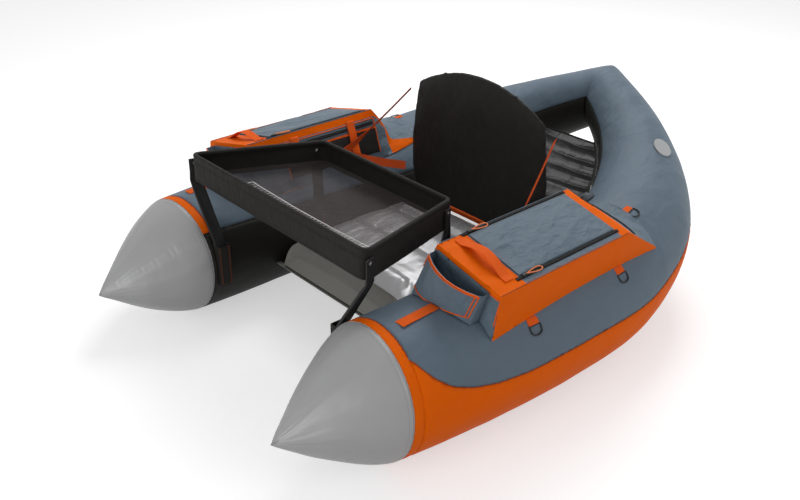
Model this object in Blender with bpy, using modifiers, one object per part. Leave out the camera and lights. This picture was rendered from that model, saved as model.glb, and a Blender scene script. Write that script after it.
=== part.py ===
"""A one-person fishing float tube: two upturned air tubes that meet at the tail, with seat, apron and bags.

Metres, +Z up. The sitter faces -Y, +X is the sitter's left, and the underside rests on z = 0.
Side pieces are modelled on the left and turned over for the right.
"""

import math

import bmesh
import bpy
from mathutils import Matrix, Vector
from mathutils.bvhtree import BVHTree

# Driving sizes of the hull
HULL_LENGTH = 1.548
HULL_WIDTH = 1.152
TUBE_RADIUS = 0.165
TAIL_RISE = 0.346
NOSE_TIP_HEIGHT = 0.139
SKIN = 0.0012
SKIN_GAP = 0.0008
SEAM_GAP = 0.0004
FIT_GAP = 0.0004
CUT_OVERRUN = 0.02
TRACE_STEP = 0.01
PROBES = 16

# The tube's run, from the nose seam to the tail: each row holds the centre's place out from the
# middle, its place along the hull, the height of the tube's underside and the tube's radius, as
# shares of the straight run's distance from the middle, the length, the tail's rise and the radius.
TUBE_RUN_SHARES = (
    (0.930, -0.348, 0.035, 0.907),
    (0.974, -0.191, -0.006, 0.970),
    (0.997, -0.035, -0.012, 1.000),
    (0.975, 0.118, 0.012, 0.997),
    (0.846, 0.260, 0.225, 0.875),
    (0.523, 0.373, 0.600, 0.652),
    (0.000, 0.4467, 1.000, 0.481),
)
NOSE_TIP_SHARES = (0.883, -0.5)
CONE_FULLNESS = 1.35
CONE_ROW_SHARES = (-1.0, -0.93, -0.8, -0.6, -0.4, -0.2)
TUBE_ROW_SHARES = (
    0.0, 0.0165, 0.035, 0.064, 0.10, 0.143, 0.20, 0.26, 0.32, 0.38, 0.44,
    0.50, 0.56, 0.62, 0.68, 0.74, 0.80, 0.855, 0.905, 0.952, 1.0,
)
COLLAR_ROW = 1

# Seams round the tube, in degrees up from the outer side
BOTTOM_SEAM = -78.0
BOTTOM_STRIP = 24.0
OUTER_SEAM_AT_ROWS = (55.0, 55.0, 36.0, 22.0, 14.0, 9.0)
OUTER_SEAM = 6.0
INNER_SEAM_FRONT = 139.0
INNER_SEAM_REAR = 167.0
COLUMNS_BELOW_OUTER_SEAM = 6
COLUMNS_TO_TOP = 5
COLUMNS_TO_INNER_SEAM = 3
COLUMNS_TO_BOTTOM = 6

# Badge plates and air valves
BADGE_SHARE = 0.78
BADGE_ANGLE = 68.0
BADGE_LENGTH = 0.070
BADGE_WIDTH = 0.050
BADGE_THICKNESS = 0.003
VALVE_BEHIND_BAG = 0.094
VALVE_ANGLE = 132.0
VALVE_RADIUS = 0.022
VALVE_THICKNESS = 0.006
CAP_RADIUS = 0.014
CAP_HEIGHT = 0.009
CAP_GRIP = 0.004

# Seat. Its rear edge is a share of the hull's length, and its underside's height one of the radius.
SEAT_REAR_SHARE = 0.0866
SEAT_HEIGHT_SHARE = 0.715
SEAT_LENGTH = 0.464
SEAT_BASE_THICKNESS = 0.003
SEAT_THICKNESS = 0.078
SEAT_SIDE_GAP = 0.0155
SEAT_FRONT_SLOPE = 0.040
SEAT_CROWN = 0.010
SEAT_CHANNELS = 4
SEAT_CHANNEL_DEPTH = 0.006
SEAT_ROWS = 24
SEAT_COLUMNS = 8
SEAT_SIDE_DRAW = 0.006

# Backrest
BACK_CLEARANCE = 0.006
BACK_RAISE = 0.073
BACK_FOAM = 0.026
BACK_BOARD = 0.003
BACK_HEIGHT = 0.341
BACK_CROWN_RISE = 0.068
BACK_OVERHANG = 0.0260
BACK_WIDTH_SHARES = ((0.0, 0.884), (0.24, 0.992), (0.5, 1.0), (0.78, 0.956), (1.0, 0.904))
BACK_BULGE = 0.007
BACK_EDGE_SHARES = ((0.0, 0.20), (0.02, 0.72), (0.05, 1.0), (0.24, 1.0), (0.5, 1.0), (0.78, 1.0),
                    (0.93, 1.0), (0.98, 0.76), (1.0, 0.34))
BACK_COLUMNS = 10
BOARD_INSET = 0.045
BAND_WIDTH = 0.024
BAND_THICKNESS = 0.002
BAND_CLEARANCE = 0.0007
STRAP_WIDTH = 0.025
STRAP_THICKNESS = 0.0015
STRAP_TOP_HEIGHT = 0.303
STRAP_LOW_HEIGHT = 0.075
STRAP_REACH = 0.190
STRAP_ANCHOR_DROP = 0.087
STRAP_SIDE_GAP = 0.005
STRAP_SEATING = 0.0003

# Apron. Its middle is a share of the hull's length.
APRON_PLACE_SHARE = -0.2187
APRON_DEPTH = 0.341
APRON_SPREAD = 0.100
APRON_RISE_FRONT = 0.126
APRON_RISE_REAR = 0.103
APRON_WALL_HEIGHT = 0.072
APRON_WALL = 0.0025
APRON_CORNER = 0.022
APRON_CORNER_STEPS = 3
APRON_FLOOR_DEPTH = 0.058
APRON_FLOOR = 0.0012
APRON_FLOOR_SAG = 0.014
APRON_FLOOR_CELLS = 8
APRON_ROD_RADIUS = 0.005
APRON_ROD_DROP = 0.003
LEG_WIDTH = 0.025
LEG_THICKNESS = 0.003
LEG_TOP_DROP = 0.020
LEG_BEND_CLEARANCE = 0.003
LEG_WALL_GAP = 0.0004
LEG_SETIN = 0.0095
FRONT_LEG_INSET = 0.012
REAR_LEG_INSET = 0.024
KNEE_REACH = 0.0215

# Heights on the tube's inner side, as shares of its radius
LEG_FOOT_SHARE = 0.809
FRONT_FOOT_BEND_SHARE = 1.242
KNEE_SHARE = 1.485
REAR_FOOT_BEND_SHARE = 1.82
FRONT_SLEEVE_SHARE = 1.43
REAR_SLEEVE_SHARE = 1.37
SLEEVE_WALL = 0.002
SLEEVE_PLAY = 0.0006
SLEEVE_SIDE_PLAY = 0.0015
SLEEVE_FLOOR = 0.006
SLEEVE_STEPS = 7

# Side bags. The front face's place is a share of the hull's length, and the reaches are measured from
# the tube's middle, the rises from its top.
BAG_FRONT_SHARE = -0.2145
BAG_LENGTH = 0.568
BAG_TOP_LENGTH = 0.422
BAG_FOOT_REACH_IN = 0.113
BAG_FOOT_REACH_OUT = 0.109
BAG_TOP_REACH_IN = 0.058
BAG_TOP_REACH_OUT = 0.123
BAG_RISE_IN = 0.090
BAG_RISE_OUT = 0.046
BAG_REST = 0.0028
BAG_WALL = 0.003
BAG_TAIL_THICKNESS = 0.008
LID_MARGIN_IN = 0.011
LID_MARGIN_OUT = 0.024
FRONT_STRIP = 0.080
REAR_STRIP = 0.026
LID_THICKNESS = 0.004
LID_LAP = 0.004
CAVITY_SLOPE = 0.004
BAG_COLUMNS = 12
POCKET_TOP_MARGIN_IN = 0.004
POCKET_TOP_MARGIN_OUT = 0.028
POCKET_FOOT_MARGIN_IN = 0.008
POCKET_FOOT_MARGIN_OUT = 0.038
POCKET_DROP = 0.010
POCKET_DEPTH_AT_END = 0.026
POCKET_DEPTH = 0.052
POCKET_WALL = 0.0025
HANDLE_WIDTH = 0.024
HANDLE_THICKNESS = 0.002
HANDLE_SETBACK = 0.052
HANDLE_LENGTH = 0.146
HANDLE_FOOT = 0.016
HANDLE_RISE = 0.019
SLIDER_LENGTH = 0.014
SLIDER_WIDTH = 0.007
SLIDER_HEIGHT = 0.006
SLIDER_SETBACK = 0.012
PULL_RADIUS = 0.0016
PULL_LENGTH = 0.042
PULL_WIDTH = 0.006

# Webbing tabs and D-rings
TAB_WIDTH = 0.025
TAB_THICKNESS = 0.0015
TAB_LIFT = 0.0006
FRONT_TAB_LENGTH = 0.098
FRONT_TAB_REACH_IN = 0.0045
SIDE_RING_SHARES = (0.218, 0.727)
REAR_RING_BEHIND_BAG = 0.043
REAR_RING_ANGLE = 83.0
RING_TAB_LENGTH = 0.014
RING_BAR = 0.030
RING_DEPTH = 0.022
RING_WIRE = 0.0018
RING_CORNER_SHARE = 0.35

# Rear deck. Its edges lie at an angle round the tube's section, and its rear is a share of the length.
DECK_CLEARANCE = 0.017
DECK_REAR_SHARE = 0.349
DECK_FRONT_ANGLE = 164.0
DECK_REAR_ANGLE = 151.0
DECK_SAG = 0.016
DECK_THICKNESS = 0.002
DECK_ROWS = 9
DECK_COLUMNS = 6

SIDES = (("left", 1), ("right", -1))
UP = Vector((0, 0, 1))
ALONG = Vector((0, 1, 0))
ACROSS = Vector((1, 0, 0))


def material(name, colour, roughness, metallic=0.0):
    """A plain Principled finish."""
    made = bpy.data.materials.new(name)
    made.use_nodes = True
    shader = made.node_tree.nodes["Principled BSDF"]
    shader.inputs["Base Color"].default_value = (*colour, 1.0)
    shader.inputs["Roughness"].default_value = roughness
    shader.inputs["Metallic"].default_value = metallic
    return made


def mesh_object(name, bm, finish, side=1):
    """The bmesh as an object of the part, turned over to the right side where side is -1."""
    if side < 0:
        bmesh.ops.scale(bm, vec=(-1, 1, 1), verts=bm.verts)
        bmesh.ops.reverse_faces(bm, faces=bm.faces)
    mesh = bpy.data.meshes.new(name)
    bm.to_mesh(mesh)
    bm.free()
    mesh.materials.append(finish)
    mesh.shade_smooth()
    mesh.set_sharp_from_angle(angle=math.radians(38))
    made = bpy.data.objects.new(name, mesh)
    parts.objects.link(made)
    return made


def solidify(made, thickness, offset=-1.0):
    shell = made.modifiers.new("Thickness", "SOLIDIFY")
    shell.thickness = thickness
    shell.offset = offset
    return made


def mirror(made):
    half = made.modifiers.new("Other side", "MIRROR")
    half.merge_threshold = 0.0001
    return made


def set_origin(made, point):
    """Moves the object's origin to a world point, with its shape left in place."""
    made.data.transform(Matrix.Translation(-Vector(point)))
    made.location = point


def loft(rings, cyclic=False):
    """A closed body through rings of equal count, with flat ends unless it runs round to its start."""
    bm = bmesh.new()
    rows = [[bm.verts.new(p) for p in ring] for ring in rings]
    pairs = list(zip(rows, rows[1:]))
    if cyclic:
        pairs.append((rows[-1], rows[0]))
    for low, high in pairs:
        for k in range(len(low)):
            n = (k + 1) % len(low)
            bm.faces.new((low[k], low[n], high[n], high[k]))
    if not cyclic:
        bm.faces.new(rows[0])
        bm.faces.new(rows[-1])
    bmesh.ops.recalc_face_normals(bm, faces=bm.faces)
    if bm.calc_volume(signed=True) < 0:
        bmesh.ops.reverse_faces(bm, faces=bm.faces)
    return bm


def sheet(rows):
    """An open surface through rows of points."""
    bm = bmesh.new()
    grid = [[bm.verts.new(p) for p in row] for row in rows]
    for low, high in zip(grid, grid[1:]):
        for k in range(len(low) - 1):
            bm.faces.new((low[k], high[k], high[k + 1], low[k + 1]))
    return bm


def ribbon(path, across, width, thickness):
    """A flat band swept along a path. Across is its width's direction, one for all or one a point."""
    rings = []
    for k, here in enumerate(path):
        before = path[max(k - 1, 0)]
        after = path[min(k + 1, len(path) - 1)]
        side = (across[k] if isinstance(across, list) else across).normalized()
        face = (after - before).cross(side).normalized()
        half = side * width / 2
        lift = face * thickness / 2
        rings.append((here - half - lift, here + half - lift, here + half + lift, here - half + lift))
    return loft(rings)


def lerp(a, b, share):
    return a + (b - a) * share


def from_table(table, share):
    """A value read between the rows of a table of (share, value)."""
    for (low, first), (high, second) in zip(table, table[1:]):
        if share <= high:
            return lerp(first, second, (share - low) / (high - low))
    return table[-1][1]


# The tube's run
STRAIGHT_X = HULL_WIDTH / 2 - TUBE_RADIUS
RUN = [
    (Vector((x * STRAIGHT_X, y * HULL_LENGTH, keel * TAIL_RISE + r * TUBE_RADIUS)), r * TUBE_RADIUS)
    for x, y, keel, r in TUBE_RUN_SHARES
]
NOSE_TIP = Vector((NOSE_TIP_SHARES[0] * STRAIGHT_X, NOSE_TIP_SHARES[1] * HULL_LENGTH, NOSE_TIP_HEIGHT))
KNOTS = [0.0]
for (a, _), (b, _) in zip(RUN, RUN[1:]):
    KNOTS.append(KNOTS[-1] + (b - a).length)
KNOT_VALUES = [Vector((*centre, radius)) for centre, radius in RUN]


def knot_slope(k):
    """The run's rate of change at a knot, from the parabola through it and its neighbours."""
    k0 = min(max(k - 1, 0), len(KNOTS) - 3)
    t0, t1, t2 = KNOTS[k0:k0 + 3]
    p0, p1, p2 = KNOT_VALUES[k0:k0 + 3]
    first = (p1 - p0) / (t1 - t0)
    bend = ((p2 - p1) / (t2 - t1) - first) / (t2 - t0)
    return first + bend * (2 * KNOTS[k] - t0 - t1)


KNOT_SLOPES = [knot_slope(k) for k in range(len(KNOTS))]


def on_run(share):
    """The tube's centre, radius and direction at a share of its run from the nose seam to the tail."""
    along = share * KNOTS[-1]
    k = max(i for i in range(len(KNOTS) - 1) if KNOTS[i] <= along + 1e-9)
    gap = KNOTS[k + 1] - KNOTS[k]
    u = (along - KNOTS[k]) / gap
    p, q = KNOT_VALUES[k], KNOT_VALUES[k + 1]
    a, b = KNOT_SLOPES[k] * gap, KNOT_SLOPES[k + 1] * gap
    value = p + a * u + (3 * (q - p) - 2 * a - b) * u**2 + (2 * (p - q) + a + b) * u**3
    slope = a + 2 * (3 * (q - p) - 2 * a - b) * u + 3 * (2 * (p - q) + a + b) * u**2
    return value.xyz, value.w, slope.xyz.normalized()


def hull_frame(share):
    """Centre, radius, outward and upward directions of the hull's section. Shares under 0 are the cone's."""
    centre, radius, way = on_run(max(share, 0.0))
    if share < 0:
        centre = centre.lerp(NOSE_TIP, -share)
        radius *= 1 - (-share) ** CONE_FULLNESS
    out = way.cross(UP).normalized()
    return centre, radius, way, out, out.cross(way)


def hull_point(share, angle, inset=0.0):
    """A point of the hull's skin. The section at the tail is mitred to the middle plane."""
    centre, radius, way, out, up = hull_frame(share)
    a = math.radians(angle)
    point = centre + (out * math.cos(a) + up * math.sin(a)) * max(radius - inset, 0.0)
    if share == 1.0:
        point -= way * (point.x / way.x)
        point.x = 0.0
    point.z = max(point.z, inset)
    return point


ROW_SHARES = CONE_ROW_SHARES + TUBE_ROW_SHARES
FIRST_TUBE_ROW = len(CONE_ROW_SHARES)
LAST_ROW = len(ROW_SHARES) - 1
COLLAR_END = FIRST_TUBE_ROW + COLLAR_ROW
OUTER_COLUMN = COLUMNS_BELOW_OUTER_SEAM
TOP_COLUMN = OUTER_COLUMN + COLUMNS_TO_TOP
INNER_COLUMN = TOP_COLUMN + COLUMNS_TO_INNER_SEAM
COLUMNS = INNER_COLUMN + COLUMNS_TO_BOTTOM + 1


def column_angles(row):
    """The angles of the skin's columns on a row, which follow the seams."""
    place = max(row - FIRST_TUBE_ROW, 0)
    outer = OUTER_SEAM_AT_ROWS[place] if place < len(OUTER_SEAM_AT_ROWS) else OUTER_SEAM
    inner = lerp(INNER_SEAM_FRONT, INNER_SEAM_REAR, max(ROW_SHARES[row], 0.0))
    stops = (BOTTOM_SEAM, outer, 90.0, inner, BOTTOM_SEAM + 360 - BOTTOM_STRIP, BOTTOM_SEAM + 360)
    counts = (COLUMNS_BELOW_OUTER_SEAM, COLUMNS_TO_TOP, COLUMNS_TO_INNER_SEAM, COLUMNS_TO_BOTTOM, 1)
    angles = [BOTTOM_SEAM]
    for low, high, count in zip(stops, stops[1:], counts):
        angles += [lerp(low, high, (k + 1) / count) for k in range(count)]
    return angles


ANGLES = [column_angles(row) for row in range(len(ROW_SHARES))]


def hull_sheet(cells, joins_other_half=False):
    """The skin over cells of (row, column), drawn back a little from its seams."""
    bm = bmesh.new()
    verts = {}
    for row, column in cells:
        corners = ((row, column), (row + 1, column), (row + 1, column + 1), (row, column + 1))
        for key in corners:
            if key not in verts:
                verts[key] = bm.verts.new(hull_point(ROW_SHARES[key[0]], ANGLES[key[0]][key[1]]))
        bm.faces.new([verts[key] for key in corners])
    bmesh.ops.remove_doubles(bm, verts=bm.verts, dist=FIT_GAP)
    bm.normal_update()
    moves = {}
    for vert in bm.verts:
        inward = []
        for edge in vert.link_edges:
            in_middle = max(end.co.x for end in edge.verts) < FIT_GAP
            if edge.is_boundary and not (joins_other_half and in_middle):
                face = edge.link_faces[0]
                along = (edge.verts[1].co - edge.verts[0].co).normalized()
                across = face.normal.cross(along).normalized()
                if across.dot(face.calc_center_median() - vert.co) < 0:
                    across.negate()
                inward.append(across)
        if inward:
            total = sum(inward, Vector())
            moves[vert] = total * (SEAM_GAP * len(inward) / total.length_squared)
    for vert, move in moves.items():
        vert.co += move
        if joins_other_half and vert.co.x < 2 * SEAM_GAP:
            vert.co.x = 0.0
    return bm


def cells_of(rows, columns):
    return [(row, column) for row in rows for column in columns]


def make_bladder(name, side):
    inset = SKIN + SKIN_GAP
    rings = []
    for row in range(1, len(ROW_SHARES)):
        ring = [hull_point(ROW_SHARES[row], angle, inset) for angle in ANGLES[row][:-1]]
        if row == LAST_ROW:
            for point in ring:
                point.x = SKIN_GAP / 2
        rings.append(ring)
    return mesh_object(name, loft(rings), rubber, side)


def make_hull():
    for side_name, side in SIDES:
        make_bladder(f"bladder_{side_name}", side)
        cone = hull_sheet(cells_of(range(FIRST_TUBE_ROW), range(COLUMNS)))
        solidify(mesh_object(f"nose_cone_{side_name}", cone, silver_fabric, side), SKIN)
        inner = hull_sheet(cells_of(range(FIRST_TUBE_ROW, LAST_ROW), range(INNER_COLUMN, COLUMNS)))
        solidify(mesh_object(f"inner_panel_{side_name}", inner, black_fabric, side), SKIN)
    top = hull_sheet(cells_of(range(COLLAR_END, LAST_ROW), range(OUTER_COLUMN, INNER_COLUMN)), True)
    solidify(mirror(mesh_object("top_panel", top, grey_fabric)), SKIN)
    collar = cells_of(range(FIRST_TUBE_ROW, COLLAR_END), range(INNER_COLUMN))
    flank = cells_of(range(COLLAR_END, LAST_ROW), range(OUTER_COLUMN))
    solidify(mirror(mesh_object("side_panel", hull_sheet(collar + flank, True), orange_fabric)), SKIN)


def hull_tree():
    """The left half of the hull's outer surface, for finding where a piece meets it."""
    bm = bmesh.new()
    rows = [
        [bm.verts.new(hull_point(ROW_SHARES[row], angle)) for angle in ANGLES[row]]
        for row in range(len(ROW_SHARES))
    ]
    for low, high in zip(rows, rows[1:]):
        for k in range(COLUMNS):
            bm.faces.new((low[k], high[k], high[k + 1], low[k + 1]))
    tree = BVHTree.FromBMesh(bm)
    bm.free()
    return tree


HULL = hull_tree()


def hull_top(x, y):
    """The height of the hull's upper surface at a place in plan, or None beside it."""
    hit = HULL.ray_cast(Vector((x, y, HULL_WIDTH)), -UP)[0]
    return hit.z if hit else None


def hull_inner(y, z):
    """How far out from the middle the hull's inner side lies."""
    return HULL.ray_cast(Vector((0, y, z)), ACROSS)[0].x


def share_at(y):
    """The share of the run at which the tube's centre lies at y."""
    low, high = 0.0, 1.0
    for _ in range(40):
        middle = (low + high) / 2
        if on_run(middle)[0].y < y:
            low = middle
        else:
            high = middle
    return low


def angle_at_x(share, x):
    """The angle on the hull's outer upper side at which its skin lies at x."""
    low, high = 0.0, 90.0
    for _ in range(40):
        middle = (low + high) / 2
        if hull_point(share, middle).x > x:
            low = middle
        else:
            high = middle
    return low


def surface_frame(share, angle):
    """A place on the hull's skin and its turn: X along the tube to the nose, Y down the slope, Z out."""
    here = hull_point(share, angle)
    way = (hull_point(share + TRACE_STEP, angle) - here).normalized()
    climb = (hull_point(share, angle + math.degrees(TRACE_STEP)) - here).normalized()
    normal = way.cross(climb).normalized()
    down = normal.cross(-way)
    return HULL.ray_cast(here + normal * TUBE_RADIUS, -normal)[0], Matrix((-way, down, normal)).transposed()


def place(made, share, angle, lift, side, reach=(0.0, 0.0)):
    """Stands an object, modelled about the origin with +Z out, on the skin, clear of it over its reach."""
    origin, turn = surface_frame(share, angle)
    normal = turn @ UP
    highest = 0.0
    for k in range(PROBES):
        a = math.tau * k / PROBES
        probe = origin + turn @ Vector((reach[0] * math.cos(a), reach[1] * math.sin(a), TUBE_RADIUS))
        hit = HULL.ray_cast(probe, -normal)[0]
        highest = max(highest, (hit - origin).dot(normal))
    turn = turn.to_4x4()
    origin += normal * (highest + lift)
    if side < 0:
        flip = Matrix.Diagonal((-1, 1, 1, 1))
        turn = flip @ turn @ flip
        origin = flip @ origin
    made.matrix_world = Matrix.Translation(origin) @ turn
    return made


# Places that follow from the hull
TUBE_TOP = 2 * TUBE_RADIUS
SEAT_REAR = SEAT_REAR_SHARE * HULL_LENGTH
SEAT_FRONT = SEAT_REAR - SEAT_LENGTH
SEAT_BASE_Z = SEAT_HEIGHT_SHARE * TUBE_RADIUS
SEAT_HALF_WIDTH = min(hull_inner(y, TUBE_RADIUS) for y in (SEAT_FRONT, SEAT_REAR)) - SEAT_SIDE_GAP
BACK_FRONT = SEAT_REAR + BACK_CLEARANCE
BACK_BOTTOM = SEAT_BASE_Z + BACK_RAISE
BACK_HALF_WIDTH = SEAT_HALF_WIDTH + BACK_OVERHANG
BACK_PIVOT = Vector((0, BACK_FRONT + BACK_FOAM / 2, BACK_BOTTOM + BACK_FOAM / 2))
APRON_FRONT = APRON_PLACE_SHARE * HULL_LENGTH - APRON_DEPTH / 2
APRON_REAR = APRON_FRONT + APRON_DEPTH
APRON_RIM_FRONT = TUBE_TOP + APRON_RISE_FRONT
APRON_RIM_REAR = TUBE_TOP + APRON_RISE_REAR
FRONT_LEG_Y = APRON_FRONT + FRONT_LEG_INSET
REAR_LEG_Y = APRON_REAR - REAR_LEG_INSET
FRONT_LEG_X, REAR_LEG_X = [hull_inner(y, TUBE_RADIUS) - LEG_SETIN for y in (FRONT_LEG_Y, REAR_LEG_Y)]
LEG_FOOT_Z = LEG_FOOT_SHARE * TUBE_RADIUS
FRONT_LEG_FOOT = (FRONT_LEG_X, FRONT_FOOT_BEND_SHARE * TUBE_RADIUS)
FRONT_LEG_KNEE = (FRONT_LEG_X + KNEE_REACH, KNEE_SHARE * TUBE_RADIUS)
REAR_LEG_FOOT = (REAR_LEG_X, REAR_FOOT_BEND_SHARE * TUBE_RADIUS)
APRON_REAR_HALF = REAR_LEG_X - LEG_THICKNESS / 2 - LEG_WALL_GAP
APRON_FRONT_HALF = APRON_REAR_HALF + APRON_SPREAD
BAG_FRONT = BAG_FRONT_SHARE * HULL_LENGTH
BAG_REAR_TOP = BAG_FRONT + BAG_TOP_LENGTH
BAG_REAR = BAG_FRONT + BAG_LENGTH
BAG_FOOT_IN = STRAIGHT_X - BAG_FOOT_REACH_IN
BAG_FOOT_OUT = STRAIGHT_X + BAG_FOOT_REACH_OUT
BAG_TOP_IN = STRAIGHT_X - BAG_TOP_REACH_IN
BAG_TOP_OUT = STRAIGHT_X + BAG_TOP_REACH_OUT
BAG_LEAN = (BAG_RISE_IN - BAG_RISE_OUT) / (BAG_TOP_OUT - BAG_TOP_IN)
LEAN_ACROSS = Vector((1, 0, -BAG_LEAN)).normalized()
LEAN_UP = LEAN_ACROSS.cross(ALONG)
LID_INNER = BAG_TOP_IN + LID_MARGIN_IN
LID_OUTER = BAG_TOP_OUT - LID_MARGIN_OUT
LID_FRONT = BAG_FRONT + FRONT_STRIP
LID_REAR = BAG_REAR_TOP - REAR_STRIP
REAR_RING_SHARE = share_at(BAG_REAR + REAR_RING_BEHIND_BAG)
VALVE_SHARE = share_at(BAG_REAR + VALVE_BEHIND_BAG)
DECK_FRONT = BACK_FRONT + BACK_FOAM + BACK_BOARD + DECK_CLEARANCE
DECK_REAR = DECK_REAR_SHARE * HULL_LENGTH


def disc(radius_x, radius_y, thickness, steps):
    """A flat oval plate on z = 0."""
    bm = bmesh.new()
    bmesh.ops.create_cone(bm, cap_ends=True, segments=steps, radius1=1, radius2=1, depth=1)
    bmesh.ops.translate(bm, vec=UP / 2, verts=bm.verts)
    bmesh.ops.scale(bm, vec=(radius_x, radius_y, thickness), verts=bm.verts)
    return bm


def make_badges_and_valves():
    badge_reach = (BADGE_LENGTH / 2, BADGE_WIDTH / 2)
    valve_reach = (VALVE_RADIUS, VALVE_RADIUS)
    valve_lift = FIT_GAP + SKIN_GAP
    for side_name, side in SIDES:
        badge = mesh_object(f"badge_{side_name}", disc(*badge_reach, BADGE_THICKNESS, 28), plate)
        place(badge, BADGE_SHARE, BADGE_ANGLE, FIT_GAP, side, badge_reach)
        valve = mesh_object(f"valve_{side_name}", disc(*valve_reach, VALVE_THICKNESS, 24), black_plastic)
        place(valve, VALVE_SHARE, VALVE_ANGLE, valve_lift, side, valve_reach)
        cap = disc(CAP_RADIUS, CAP_RADIUS, CAP_HEIGHT, 20)
        crown = [v for v in cap.verts if v.co.z > CAP_HEIGHT / 2]
        draw_in = 1 - CAP_GRIP / CAP_RADIUS
        bmesh.ops.scale(cap, vec=(draw_in, draw_in, 1), verts=crown)
        cap = mesh_object(f"valve_cap_{side_name}", cap, black_plastic)
        place(cap, VALVE_SHARE, VALVE_ANGLE, valve_lift + VALVE_THICKNESS + FIT_GAP, side, valve_reach)


def make_seat():
    """The base panel between the tubes and the channelled cushion on it."""
    stations = [lerp(SEAT_FRONT, SEAT_REAR, k / 6) for k in range(7)]
    rings = []
    for y in stations:
        ring = []
        for z in (SEAT_BASE_Z, SEAT_BASE_Z + SEAT_BASE_THICKNESS):
            edge = hull_inner(y, z) - 2 * FIT_GAP
            ring.append((edge, z))
        (low_edge, low), (high_edge, high) = ring
        rings.append([Vector((-low_edge, y, low)), Vector((low_edge, y, low)),
                      Vector((high_edge, y, high)), Vector((-high_edge, y, high))])
    mesh_object("seat_base", loft(rings), black_fabric)

    bottom = SEAT_BASE_Z + SEAT_BASE_THICKNESS + FIT_GAP
    rings = []
    for row in range(SEAT_ROWS + 1):
        share = row / SEAT_ROWS
        front_share = min(1.0, share * SEAT_ROWS / 2)
        y_low = lerp(SEAT_FRONT, SEAT_REAR, share)
        y_high = lerp(SEAT_FRONT + SEAT_FRONT_SLOPE, SEAT_REAR, share)
        groove = abs(math.cos(math.pi * SEAT_CHANNELS * share)) ** 6 * SEAT_CHANNEL_DEPTH
        half = SEAT_HALF_WIDTH - SEAT_SIDE_DRAW * (2 * share - 1) ** 2
        ring = [Vector((-half, y_low, bottom)), Vector((half, y_low, bottom))]
        for column in range(SEAT_COLUMNS + 1):
            across = 1 - 2 * column / SEAT_COLUMNS
            crown = SEAT_CROWN * (1 - across**2) - groove * (1 - across**4)
            edge_drop = SEAT_THICKNESS * 0.12 * across**8
            rise = SEAT_THICKNESS + crown - edge_drop - (1 - front_share) * SEAT_CROWN
            ring.append(Vector((half * across, y_high, bottom + rise)))
        rings.append(ring)
    mesh_object("seat_cushion", loft(rings), silver_fabric)

    band_y = BACK_FRONT + BACK_FOAM / 2
    band_z = BACK_BOTTOM - BAND_CLEARANCE - BAND_THICKNESS / 2
    reach = min(hull_inner(band_y + side * BAND_WIDTH / 2, band_z) for side in (-1, 1)) - 2 * FIT_GAP
    path = [Vector((x * reach, band_y, band_z)) for x in (-1, -0.5, 0, 0.5, 1)]
    mesh_object("seat_rear_band", ribbon(path, ALONG, BAND_WIDTH, BAND_THICKNESS), orange_webbing)


def back_row(v, edge, front, thickness, half_inset, lift):
    """One ring of the backrest at height share v: its front from left to right, then its back."""
    half = from_table(BACK_WIDTH_SHARES, v) * BACK_HALF_WIDTH - half_inset
    middle = front + thickness / 2
    ring = []
    for face in (-1, 1):
        for k in range(BACK_COLUMNS + 1):
            across = face * (2 * k / BACK_COLUMNS - 1)
            z = BACK_BOTTOM + v * (BACK_HEIGHT + BACK_CROWN_RISE * (1 - across**2))
            round_off = edge * (1 - 0.45 * across**8)
            bulge = BACK_BULGE * (1 - across**2) * math.sin(math.pi * v) if lift else 0.0
            y = middle + face * thickness / 2 * round_off - (bulge if face < 0 else 0.0)
            ring.append(Vector((half * across, y, z)))
    return ring


def make_backrest():
    foam = loft([back_row(v, edge, BACK_FRONT, BACK_FOAM, 0.0, True) for v, edge in BACK_EDGE_SHARES])
    foam = mesh_object("backrest_cushion", foam, black_fabric)
    set_origin(foam, BACK_PIVOT)
    board_front = BACK_FRONT + BACK_FOAM + FIT_GAP
    rows = [back_row(v, 1.0, board_front, BACK_BOARD, BOARD_INSET, False) for v in (0.12, 0.3, 0.5, 0.7, 0.9)]
    board = mesh_object("backrest_board", loft(rows), black_plastic)
    set_origin(board, BACK_PIVOT)


def make_strap(name, side):
    """The two-legged strap from the bag's inner side to the backrest's top and foot, in one flat plane."""
    anchor = Vector((BACK_FRONT - STRAP_REACH, TUBE_TOP + BAG_RISE_IN - STRAP_ANCHOR_DROP))
    top = Vector((BACK_FRONT + BACK_FOAM / 2, BACK_BOTTOM + STRAP_TOP_HEIGHT))
    low = Vector((BACK_FRONT, BACK_BOTTOM + STRAP_LOW_HEIGHT))
    half = STRAP_WIDTH / 2

    def normal_of(way):
        return Vector((-way.y, way.x)).normalized() * half

    up_way, low_way = (top - anchor).normalized(), (low - anchor).normalized()
    up_side, low_side = normal_of(up_way), normal_of(low_way)
    crotch = anchor + (up_way + low_way).normalized() * half / math.sin(up_way.angle(low_way) / 2)
    outline = [anchor + low_side * -1, low - low_side, low + low_side, crotch,
               top - up_side, top + up_side, anchor + up_side]
    first = min(point.x for point in outline)
    at_back = BACK_HALF_WIDTH + STRAP_SIDE_GAP
    at_anchor = min(bag_face(*outline[k]) for k in (0, -1)) + STRAP_SEATING - STRAP_THICKNESS
    rings = []
    for thick in (0.0, STRAP_THICKNESS):
        ring = []
        for point in outline:
            share = (point.x - first) / (top.x - first)
            ring.append(Vector((lerp(at_anchor, at_back, share) + thick, point.x, point.y)))
        rings.append(ring)
    return mesh_object(name, loft(rings), orange_webbing, side)


def apron_rim(y):
    return lerp(APRON_RIM_FRONT, APRON_RIM_REAR, (y - APRON_FRONT) / (APRON_REAR - APRON_FRONT))


def apron_half(y):
    return lerp(APRON_FRONT_HALF, APRON_REAR_HALF, (y - APRON_FRONT) / (APRON_REAR - APRON_FRONT))


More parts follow.
